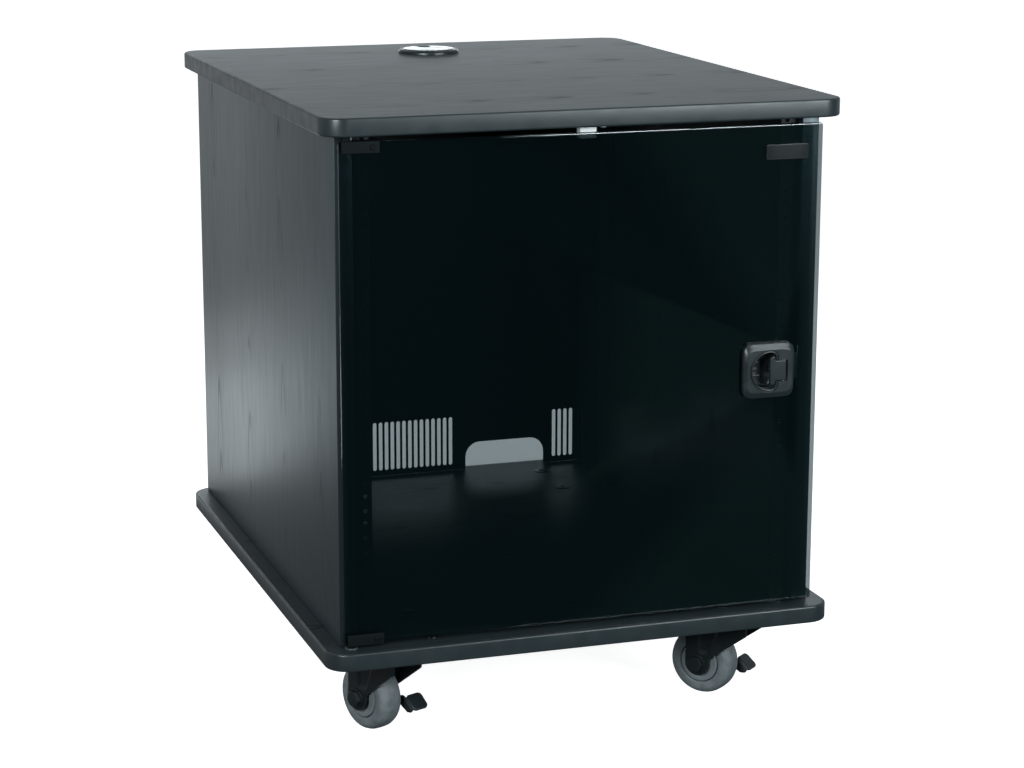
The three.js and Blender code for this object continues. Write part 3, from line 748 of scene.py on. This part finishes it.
# ---- Door hardware on the cabinet ----
def add_door_stop():
    low, high = box_mm("door_stop")
    tongue = 18
    stop = [(low.x, low.z, 1.5), (low.x + tongue, low.z, 1.5), (low.x + tongue, high.z), (low.x, high.z)]
    leg = placed(plate([filleted(stop)], -high.y, -low.y, 0.8), FACING)
    foot = rounded_rect(low.x + tongue - 1, high.x, low.y + 0.6, high.y - 2, 3)
    base = plate([foot], high.z - 2.7, high.z, 0.4)
    add("door_stop_block", joined(leg, base), WHITE_NYLON, "root", "white_nylon", "door_stop")
    middle = ((low.x + tongue + high.x) / 2, (low.y + high.y) / 2 - 0.7, high.z - 2.7)
    screw = placed(pan_head(3.2, 1.8), OVER, middle)
    add("door_stop_screw", screw, ZINC, "root", "zinc_plate")


def add_strike():
    low, high = box_mm("strike_plate")
    sheet, lip_half = 1.5, 14
    middle = (low.z + high.z) / 2
    leg = rounded_rect(low.y, high.y, low.z, high.z, 2)
    leg = placed(plate([leg], high.x - sheet, high.x, 0.3), SIDEWAYS)
    lip = rounded_rect(low.x, high.x, middle - lip_half, middle + lip_half, 2)
    lip = placed(plate([lip], -low.y - sheet, -low.y, 0.3), FACING)
    add("strike_bracket", joined(leg, lip), ZINC, "root", "zinc_plate", "strike_plate")
    head = placed(pan_head(3, 1.6), Matrix.Rotation(math.radians(-90), 4, "Y"))
    screws = [copied(head, at=(high.x - sheet, high.y - 4, middle + dz)) for dz in (-18, 18)]
    add("strike_screws", joined(*screws), ZINC, "root", "zinc_plate")


def add_bush(end, up):
    """A flanged nylon bush: up is +1 at the foot, where it stands up, and -1 at the head."""
    name = f"{end}_pivot_bush"
    low, high = box_mm(name)
    middle = middle_mm(name)
    face = low.z if up < 0 else high.z
    profile = [(3.4, -11.6), (5, -11.6), (5, -1.3), (7, -1.3), (7, 0, 0.6), (3.4, 0, 0.3)]
    mesh = lathe(filleted(profile), 48, closed=True)
    turn = PLAN if up > 0 else OVER
    placed(mesh, turn, (middle.x, middle.y, face))
    add(f"{end}_bush", mesh, DARK_NYLON, "root", "grey_nylon", name)


# ---- Door ----
def latch_centre():
    return middle_mm("latch_escutcheon").xz


def add_glass():
    low, high = box_mm("glass_door")
    x, z = latch_centre()
    outline = rounded_rect(low.x, high.x, low.z, high.z, 2.5, 8)
    pane = plate([outline, circle(GLASS_HOLE, x, z, 72)], -high.y, -low.y, 0.8, 3, rim=1)
    placed(pane, FACING)
    add("glass_pane", pane, (GLASS, GLASS_EDGE), "door", "tinted_glass", "glass_door")


def add_clip(end, up):
    """A channel over the pane's edge, its pinch screw, and its pivot pin; up is +1 at the head."""
    name = f"{end}_hinge_clip"
    low, high = box_mm(name)
    wall, web = 1.8, 1.2
    closed_end, open_end = (high.z, low.z) if up > 0 else (low.z, high.z)
    inside = closed_end - up * web
    section = [(low.y, closed_end, 1.2), (low.y, open_end, 0.5), (low.y + wall, open_end, 0.3)]
    section += [(low.y + wall, inside, 0.3), (high.y - wall, inside, 0.3)]
    section += [(high.y - wall, open_end, 0.3), (high.y, open_end, 0.5), (high.y, closed_end, 1.2)]
    channel = placed(plate([filleted(section)], low.x, high.x, 0.3), SIDEWAYS)
    add(f"{end}_clip", channel, MATT_STEEL, "door", "black_steel", name)

    middle = middle_mm(f"{end}_clip_screw")
    seat = (middle.x, low.y - 0.3, middle.z)
    head = placed(pan_head(3.1, 1.3), FACING, seat)
    add(f"{end}_pinch_screw", head, MATT_STEEL, "door", "zinc_plate", f"{end}_clip_screw")

    low_p, high_p = box_mm(f"{end}_pivot_pin")
    foot, tip = (low_p.z, high_p.z) if up > 0 else (high_p.z, low_p.z)
    length = abs(tip - foot)
    collar = length - (9 + 1.6 + 0.3)
    profile = filleted([(0, 0), (5, 0), (5, collar, 0.4), (3, collar), (3, length, 0.8), (0, length)])
    pin = lathe(profile, 40)
    turn = PLAN if up > 0 else OVER
    middle = middle_mm(f"{end}_pivot_pin")
    placed(pin, turn, (middle.x, middle.y, foot))
    add(f"{end}_pin", pin, MATT_STEEL, "door", "zinc_plate", f"{end}_pivot_pin")


def cup_outline(grow=0.0):
    """The finger cup: half round on the left, and cut off square, with soft corners, on the right."""
    radius, edge, corner = CUP + grow, 7.2 + grow, 6.0 + grow
    x, z = edge - corner, radius - corner
    return arc(0, 0, radius, 90, 270, 60) + arc(x, -z, corner, -90, 0, 12) + arc(x, z, corner, 0, 90, 12)


def bay_outline(spare=0.0):
    """The square bay on the cup's right, where the paddle hangs."""
    return rounded_rect(2, 20.8 - spare, -11.6 + spare, 11.6 - spare, 1.5, 6)


def pillow_block(outline, levels, half_width, half_height):
    """A block whose sides, and head and foot, lie in by (side, head, height) levels."""
    bm = bmesh.new()
    rings = []
    for side, head, height in levels:
        wide, tall = 1 - side / half_width, 1 - head / half_height
        rings.append(ring(bm, [(x * wide, y * tall) for x, y in outline], height))
    for first, second in zip(rings, rings[1:]):
        bridge(bm, first, second)
    cap(bm, [rings[0]])
    cap(bm, [rings[-1]])
    return to_mesh(bm)


def add_escutcheon():
    """The shield on the pane's face, with its openings, and the rim round the finger cup."""
    low, high = box_mm("latch_escutcheon")
    x, z = latch_centre()
    proud = high.y - low.y
    half_width, half_height = (high.x - low.x) / 2, (high.z - low.z) / 2
    pillow = [
        (0, 0, 0),
        (0, 0, proud - 4.3),
        (0.25, 0.3, proud - 3.8),
        (0.5, 0.7, proud - 3.5),
        (3.0, 5.6, proud - 0.8),
        (3.5, 6.1, proud - 0.6),
        (4.0, 6.6, proud - 0.55),
        (4.6, 7.2, proud - 0.55),
    ]
    outline = squircle(half_width, half_height)
    shield = pillow_block(outline, pillow, half_width, half_height)
    opening = [plate([cup_outline()], -1, proud + 1), plate([bay_outline()], -1, proud + 1)]
    groove = plate([cup_outline(2.9), cup_outline(1.5)], proud - 1.6, proud + 1)
    shield = carved(shield, *opening, groove, sharp=25)
    bead = [(0, -0.6), (0.1, -0.2), (0.45, 0), (0.9, 0), (1.25, -0.2), (1.35, -0.6), (1.35, -2), (0, -2)]
    rim = moulding(cup_outline(1.42), [(distance, proud + height) for distance, height in bead])
    rim = carved(rim, plate([bay_outline(-0.2)], -1, proud + 1))
    shield = placed(joined(shield, rim), FACING, (x, high.y, z))
    add("latch_shield", shield, PLASTIC, "door", "black_plastic", "latch_escutcheon")


def add_latch_case():
    """The round case behind the shield, with its bowl, the bolt's channel and three moulded fins."""
    x, z = latch_centre()
    face = box_mm("latch_escutcheon")[1].y
    depth = box_mm("latch_case")[1].y - face
    outer, floor = 24.8, 9.8
    shell = filleted([(0, -depth), (outer, -depth, 1.2), (outer, -0.3, 0.3), (0, -0.3)])
    bolt_low, bolt_high = box_mm("latch_bolt")
    y0, y1 = face - bolt_high.y - 0.5, face - bolt_low.y + 0.5
    channel = plate([rounded_rect(-8, outer + 2, -6.5, 6.5, 0.3, 2)], y0, y1)
    window = plate([rounded_rect(4, 20.4, -4, 4, 0.3, 2)], y0 - 0.2, -floor + 1)
    bowl = plate([cup_outline()], -floor, 1, 2.4, 5)
    pocket = plate([bay_outline()], -floor, 1, 0.8)
    case = carved(lathe(shell, 96), channel, bowl, pocket, window)
    fins = [(-18.6, -11.5, 1.2, 1.6, -1.2), (-17.2, -7.5, -6.2, 0.7, -2.6), (-15.0, -8.0, 8.2, 0.6, -4.0)]
    for x0, x1, middle, half, top in fins:
        fin = rounded_rect(x0, x1, middle - half, middle + half, 0.5, 3)
        case = joined(case, plate([fin], -floor - 0.2, top, 0.45))
    placed(case, FACING, (x, face, z))
    add("latch_cup", case, PLASTIC, "door", "black_plastic", "latch_case")


def add_latch_clamp():
    """The square plate and four screws that hold the latch to the pane from inside."""
    x, z = latch_centre()
    clamp_low, clamp_high = box_mm("latch_clamp_plate")
    clamp = rounded_rect(clamp_low.x, clamp_high.x, clamp_low.z, clamp_high.z, 8, 8)
    clamp = plate([clamp, circle(GLASS_HOLE - 0.2, x, z, 72)], -clamp_high.y, -clamp_low.y, 0.4)
    add("latch_clamp", placed(clamp, FACING), STEEL, "door", "black_steel", "latch_clamp_plate")
    head = placed(pan_head(3, 1.8), REARWARD)
    corners = [(sx * 23.5, sz * 23.5) for sx in (-1, 1) for sz in (-1, 1)]
    screws = [copied(head, at=(x + dx, clamp_high.y, z + dz)) for dx, dz in corners]
    add("latch_clamp_screws", joined(*screws), ZINC, "door", "zinc_plate")


def add_paddle():
    """T-shaped pull: a tall grip across the cup, and a tab that reaches back to its barrel."""
    low, high = box_mm("latch_paddle")
    x, z = latch_centre()
    pin_low, pin_high = box_mm("latch_pin")
    pin_x, pin_y = middle_mm("latch_pin").x - x, middle_mm("latch_pin").y
    front = low.y
    thick = 2.8
    upper_half = [(19.2, 10.9, 1.6), (6.6, 10.9, 1.5), (6.6, 15.4, 2.2), (0.7, 15.4, 3.0)]
    grip = upper_half + [(across, -up, radius) for across, up, radius in reversed(upper_half)]
    face = plate([filleted(grip, 5)], 0, thick, 0.9, 4, flat=0.5)
    along = Matrix.Rotation(math.radians(90), 4, "X")
    barrel = lathe(filleted([(0, -10.8), (2.5, -10.8, 0.4), (2.5, 10.8, 0.4), (0, 10.8)]), 24)
    placed(barrel, along, (pin_x, 0, front + thick - pin_y))
    tail = plate([rounded_rect(pin_x - 1.5, pin_x + 1.5, -3, 3, 0.4, 3)], front + thick - high.y, 1.5, 0.3)
    mesh = joined(face, barrel, tail)
    placed(mesh, FACING, (x, front + thick, z))
    add("latch_pull", mesh, PLASTIC, "latch_paddle", "black_plastic", "latch_paddle")
    radius = (pin_high.x - pin_low.x) / 2
    profile = [(0, pin_low.z), (radius, pin_low.z, 0.2), (radius, pin_high.z, 0.2), (0, pin_high.z)]
    rod = lathe(filleted(profile), 20)
    placed(rod, at=(x + pin_x, pin_y, 0))
    add("latch_hinge_pin", rod, ZINC, "door", "zinc_plate", "latch_pin")


def add_bolt():
    low, high = box_mm("latch_bolt")
    nose = [(low.x, low.y, 0.4), (high.x, low.y, 0.5), (high.x, low.y + 1.8, 0.4)]
    nose += [(high.x - 5, high.y, 0.8), (low.x, high.y, 0.4)]
    bar = plate([filleted(nose)], low.z, high.z, 0.4)
    pin_x = middle_mm("latch_pin").x
    z = (low.z + high.z) / 2
    slot = block((pin_x - 3.3, pin_x + 2.7), (low.y - 1, high.y + 1), (z - 3.6, z + 3.6), 0.2)
    add("latch_slam_bolt", carved(bar, slot), ZINC, "latch_bolt", "zinc_plate", "latch_bolt")


def add_badge():
    low, high = box_mm("badge_plate")
    thick, border = high.y - low.y, 1.2
    outline = rounded_rect(low.x, high.x, low.z, high.z, 1.6, 6)
    inner = rounded_rect(low.x + border, high.x - border, low.z + border, high.z - border, 1.0, 6)
    plain = plate([outline], 0, thick - 0.25, 0.2)
    border = plate([outline, inner], thick - 0.4, thick, 0.12)
    mesh = placed(joined(plain, border), FACING, (0, high.y, 0))
    add("badge_blank", mesh, BADGE, "door", "black_plastic", "badge_plate")


# ---- Casters ----
def swivel_frame(name):
    """A caster's own frame: on its swivel axis at the ground, wheel trailing to -X."""
    swivel = Vector(joints[f"{name}_swivel_turn"]["pos_m"])
    wheel = Vector(joints[f"{name}_wheel_spin"]["pos_m"])
    trail = swivel - wheel
    angle = math.atan2(trail.y, trail.x)
    at = Matrix.Translation((swivel.x, swivel.y, 0))
    return at @ Matrix.Rotation(angle, 4, "Z"), math.hypot(trail.x, trail.y) / MM, wheel.z / MM


def caster_plate(name):
    low, high = box_mm(f"{name}_caster_plate")
    x, y = middle_mm(f"{name}_caster_plate").xy
    bolts = [(x + sx * 32, y + sy * 42) for sx in (-1, 1) for sy in (-1, 1)]
    base = plate([rounded_rect(low.x, high.x, low.y, high.y, 7, 6)], high.z - 3, high.z, 0.5)
    race = [(0, low.z), (22, low.z, 1), (27, low.z + 3.2, 2), (27, high.z - 5, 1)]
    race += [(31, high.z - 3, 1), (31, high.z - 2), (0, high.z - 2)]
    mount = joined(base, placed(lathe(filleted(race)), at=(x, y, 0)))
    add(f"{name}_mount", mount, STEEL, "root", "black_steel", f"{name}_caster_plate")

    head = placed(hex_head(6.4, 5.4), OVER)
    heads = []
    for i, (bx, by) in enumerate(bolts):
        heads.append(copied(head, Matrix.Rotation(0.4 * i, 4, "Z"), (bx, by, high.z - 3)))
    add(f"{name}_plate_bolts", joined(*heads), ZINC, "root", "zinc_plate")

    floor = box_mm("bottom_panel")[1].z
    flange = [(0, 0), (9, 0), (9, 0.9, 0.4), (4.2, 1.1, 0.5)]
    flange += [(4.0, 1.6, 0.3), (2.8, 1.6), (2.4, 0.6), (0, 0.6)]
    nut = lathe(filleted(flange), 40)
    nuts = [copied(nut, at=(bx, by, floor)) for bx, by in bolts]
    add(f"{name}_tee_nuts", joined(*nuts), BLACK_ZINC, "root", "zinc_plate")


def thickened(mesh, sheet):
    """The surface as a sheet of metal, its thickness laid inside it."""
    crown = max(mesh.polygons, key=lambda p: p.center.z - abs(p.center.y))
    shell = bpy.data.objects.new("shell", mesh)
    scene.collection.objects.link(shell)
    modifier = shell.modifiers.new("sheet", "SOLIDIFY")
    modifier.thickness = sheet * MM
    modifier.offset = -1 if crown.normal.z > 0 else 1
    modifier.use_even_offset = True
    return evaluated(shell, 40)


def fork_shell(trail, axle_z):
    """A pressed U: both legs and the crown as one bent sheet, in rows along its section."""
    left, right, top = -47.0, 27.0, 91.4
    sheet, outer, boss, shoulder, bend = 3.5, 20.5, 14.0, 12.0, 5.0
    neck, skirt, press = 44.0, 78.0, 2.0
    inner_edge = boss - trail

    def span(z):
        """Where the leg starts and ends at a height."""
        drop = math.sqrt(max(0.0, boss**2 - min(0.0, z - axle_z) ** 2))
        start, end = -trail - drop, -trail + drop
        if z > top - shoulder:
            start = left + shoulder - math.sqrt(max(0.0, shoulder**2 - (z - top + shoulder) ** 2))
        if z > neck:
            end = min(right, inner_edge + (right - inner_edge) * (z - neck) / (skirt - neck))
        return start, end

    def pressed(x, z):
        """How far a pocket pressed beside the raised rib lies in, from 0 to 1."""
        across = min(x + 30.5, -17.0 - x + max(0.0, z - 52) * 0.35) / 1.3
        along = min(z - 50.0, 86.0 - z) / 3.0
        share = max(0.0, min(1.0, across, along))
        return share * share * (3 - 2 * share)

    low = axle_z - boss
    fine = [low + boss * (1 - math.cos(math.radians(90 * k / 12))) for k in range(1, 13)]
    legs = fine + [axle_z + (top - bend - axle_z) * k / 26 for k in range(1, 27)]
    curve = [math.radians(90 * k / 6) for k in range(1, 7)]
    path = [(-outer, z) for z in legs]
    path += [(-outer + bend * (1 - math.cos(t)), top - bend + bend * math.sin(t)) for t in curve]
    path += [(-outer + bend + (2 * outer - 2 * bend) * k / 6, top) for k in range(1, 6)]
    path += [(-y, z) for y, z in reversed(path[: len(legs) + len(curve)])]
    bm = bmesh.new()
    columns = 36
    rows = []
    for y, z in path:
        start, end = span(z)
        xs = [start + (end - start) * k / columns for k in range(columns + 1)]
        inward = [math.copysign(press * pressed(x, z), -y) if z <= top - bend else 0 for x in xs]
        rows.append([bm.verts.new((x * MM, (y + dy) * MM, z * MM)) for x, dy in zip(xs, inward)])
    for first, second in zip(rows, rows[1:]):
        for k in range(columns):
            bm.faces.new((first[k], first[k + 1], second[k + 1], second[k])).smooth = True
    for row, y in ((rows[0], -outer), (rows[-1], outer)):
        tip = bm.verts.new((-trail * MM, y * MM, low * MM))
        for k in range(columns):
            bm.faces.new((row[k + 1], row[k], tip)).smooth = True
    return thickened(to_mesh(bm), sheet)


def wheel_meshes():
    """The tyre and the hub, about Z, with Z 0 in the wheel's middle."""
    side = [(23.0, -12.6), (23.6, -13.9), (24.6, -14.45), (28, -14.5), (31.2, -14.2, 3)]
    side += [(35.2, -11.6, 4), (37.2, -6.6, 5)]
    tread = filleted(side + [(37.5, 0, 12)] + [(r, -z, *c) for r, z, *c in reversed(side)], 5)
    tyre = lathe(tread, 96, closed=True, sharp=28)
    face = [(5.5, -16.3), (8.9, -16.3, 0.4), (9.5, -15.6, 0.4), (10.6, -13.2, 1.2), (14.5, -13.4, 2)]
    face += [(19.5, -14.3, 2), (21.9, -14.2, 0.5), (22.4, -12.6)]
    hub = lathe(filleted(face + [(r, -z, *c) for r, z, *c in reversed(face)], 4), 96, closed=True)
    return tyre, hub


def brake_mesh():
    """Foot lever outside the far leg, in the axle's frame: an arm, and a ribbed tread that slopes out."""
    inner, sheet = 21.0, 3.0
    under = [(19, -9.5, 6), (34, -17.3, 2), (39.6, -16.6, 2)]
    upper = [(42.4, -12.6, 1.2), (31, -2.7, 1), (19, 2.6, 6)]
    arm = filleted(under + upper) + arc(0, 0, 10, 45, 288, 30)
    arm_mesh = placed(plate([arm, circle(5.5, count=32)], -inner - sheet, -inner, 0.7), FACING)
    slope, middle, half_length = math.radians(40.6), (37, -6.35), 10
    near, far, ribbing = 23, 44, 4
    pad = plate([rounded_rect(-half_length, half_length, near, far, 5, 8)], -3.5, 0, 1.3, 4)
    ribs = []
    for k in range(4):
        x = -half_length + ribbing + ribbing * k
        ribs.append(plate([rounded_rect(x - 0.8, x + 0.8, near + 3.5, far - 3, 0.7, 3)], -0.6, 0.0, 0.25))
    tread = joined(pad, *ribs)
    placed(tread, Matrix.Rotation(slope, 4, "Y"), (middle[0], 0, middle[1]))
    return joined(arm_mesh, tread)


def add_caster(name, wheel_parts):
    placing, trail, axle_z = swivel_frame(name)
    axle = placing @ Matrix.Translation((-trail * MM, 0, axle_z * MM))
    swivel, wheel = f"{name}_swivel", f"{name}_wheel"
    caster_plate(name)

    low, high = box_mm(f"{name}_kingpin")
    head = [(0, low.z), (7, low.z), (9, low.z + 1.5, 0.5), (9, low.z + 4, 0.4)]
    shank = [(5, low.z + 4), (5, high.z, 0.4), (0, high.z)]
    middle = middle_mm(f"{name}_kingpin")
    pin = placed(lathe(filleted(head + shank), 40), at=(middle.x, middle.y, 0))
    add(f"{name}_rivet", pin, ZINC, "root", "zinc_plate", f"{name}_kingpin")

    shell = fork_shell(trail, axle_z)
    shell.transform(placing)
    add(f"{name}_yoke", shell, STEEL, swivel, "black_steel", f"{name}_fork")

    seat = 20.8
    brake = f"{name}_brake" in frame["bodies"]
    nut_seat = seat + 3.6 if brake else seat
    head = placed(hex_head(9.6, 6.0), FACING, (0, -seat, 0))
    nut = placed(hex_head(9.2, 6.5), REARWARD, (0, nut_seat, 0))
    rod = placed(stud(4.9, -seat - 1, nut_seat + 8), REARWARD)
    bolt = joined(head, nut, rod)
    bolt.transform(axle)
    add(f"{name}_axle", bolt, STEEL, swivel, "black_steel", f"{name}_axle_bolt")

    tyre, hub = (copied(mesh, REARWARD) for mesh in wheel_parts)
    tyre.transform(axle)
    hub.transform(axle)
    add(f"{name}_tread", tyre, RUBBER, wheel, "grey_rubber", f"{name}_tyre")
    add(f"{name}_core", hub, GREY_NYLON, wheel, "grey_nylon", f"{name}_hub")
    if brake:
        lever = brake_mesh()
        lever.transform(axle)
        add(f"{name}_pedal", lever, PLASTIC, f"{name}_brake", "black_plastic", f"{name}_brake_lever")


# ---- Studio ----
def make_floor():
    bm = bmesh.new()
    bmesh.ops.create_grid(bm, x_segments=1, y_segments=1, size=30)
    mesh = bpy.data.meshes.new("floor")
    bm.to_mesh(mesh)
    bm.free()
    glow = {"Emission_Color": (1, 1, 1, 1), "Emission_Strength": 0.9}
    look = new_look("pale_floor", (0.8, 0.8, 0.8), 0.9, **glow)[0]
    floor = bpy.data.objects.new("floor", mesh)
    mesh.materials.append(look)
    scene.collection.objects.link(floor)
    floor.visible_glossy = False
    floor.visible_diffuse = False
    floor.visible_shadow = False


def make_world():
    """White to the eye. Light and reflections come from a pale backdrop behind and a dim room in front."""
    world = bpy.data.worlds.new("studio")
    scene.world = world
    world.use_nodes = True
    tree = world.node_tree
    background = tree.nodes["Background"]
    direction = node(tree, "ShaderNodeTexCoord").outputs["Generated"]
    x, y, z = node(tree, "ShaderNodeSeparateXYZ", {0: direction}).outputs
    backdrop = node(tree, "ShaderNodeValToRGB", {0: spread(tree, z, -1.0, 1.0)})
    levels = [(-1.0, 0.1), (-0.29, 0.1), (-0.265, 0.12), (-0.255, 0.34), (-0.17, 0.36)]
    levels += [(-0.13, 0.5), (-0.03, 0.5), (0.03, 0.36), (1.0, 0.4)]
    ramp = backdrop.color_ramp
    while len(ramp.elements) < len(levels):
        ramp.elements.new(0.5)
    for element, (height, level) in zip(ramp.elements, levels):
        element.position = (height + 1) / 2
        element.color = (0.9 * level, 0.97 * level, level, 1)
    reach = math_node(tree, "SUBTRACT", x, math_node(tree, "MULTIPLY", z, 0.35))
    dim = spread(tree, reach, 0.4, 0.5)
    room = blend_colors(tree, dim, (0.014, 0.036, 0.042), (0.05, 0.115, 0.12))
    behind = spread(tree, y, -0.15, 0.25)
    around = blend_colors(tree, behind, room, backdrop.outputs["Color"])
    seen = node(tree, "ShaderNodeLightPath").outputs["Is Camera Ray"]
    shown = blend_colors(tree, seen, around, (1, 1, 1))
    tree.links.new(shown, background.inputs["Color"])


def softbox(name, at, aim, width, height, radiance):
    """A cool area light of a given brightness, aimed at a point."""
    data = bpy.data.lights.new(name, "AREA")
    data.shape = "RECTANGLE"
    data.size, data.size_y = width, height
    data.energy = radiance * math.pi * width * height
    data.color = (0.88, 0.96, 1.0)
    lamp = bpy.data.objects.new(name, data)
    lamp.location = at
    lamp.rotation_mode = "QUATERNION"
    lamp.rotation_quaternion = (Vector(aim) - Vector(at)).to_track_quat("-Z", "Y")
    lamp.visible_camera = False
    scene.collection.objects.link(lamp)


def light_studio():
    scene.view_settings.view_transform = "Standard"
    make_floor()
    make_world()
    softbox("key", (1.3, -2.6, 1.0), (0, -0.34, 0.5), 1.2, 0.6, 20)
    softbox("left_fill", (-1.7, -2.0, 1.1), (-0.1, -0.3, 0.3), 0.8, 0.8, 26)
    softbox("overhead", (1.24, -1.94, 2.15), (0.2, -0.33, 0.39), 0.9, 0.7, 11)
    softbox("horizon_card", (0.6, 2.0, 0.74), (0.6, 0, 0.74), 1.9, 0.4, 3.2)
    softbox("near_floor_card", (-0.8, 1.15, 0.002), (-0.8, 1.15, 1), 1.0, 0.7, 1.1)
    softbox("far_floor_card", (-0.9, 1.75, 0.002), (-0.9, 1.75, 1), 1.2, 0.5, 0.5)


# ---- Build ----
def build():
    add_slab("bottom_panel", "bottom_edge_band", "bottom_moulding")
    add_slab("top_panel", "top_edge_band", "top_moulding")
    for side in ("left", "right"):
        add_side(side)
    add_back()
    add_rails()
    add_grommet()
    add_door_stop()
    add_strike()
    add_bush("lower", 1)
    add_bush("upper", -1)
    add_glass()
    add_clip("lower", -1)
    add_clip("upper", 1)
    add_escutcheon()
    add_latch_case()
    add_latch_clamp()
    add_paddle()
    add_bolt()
    add_badge()
    wheel_parts = wheel_meshes()
    for name in CASTER_NAMES:
        add_caster(name, wheel_parts)
    light_studio()


build()
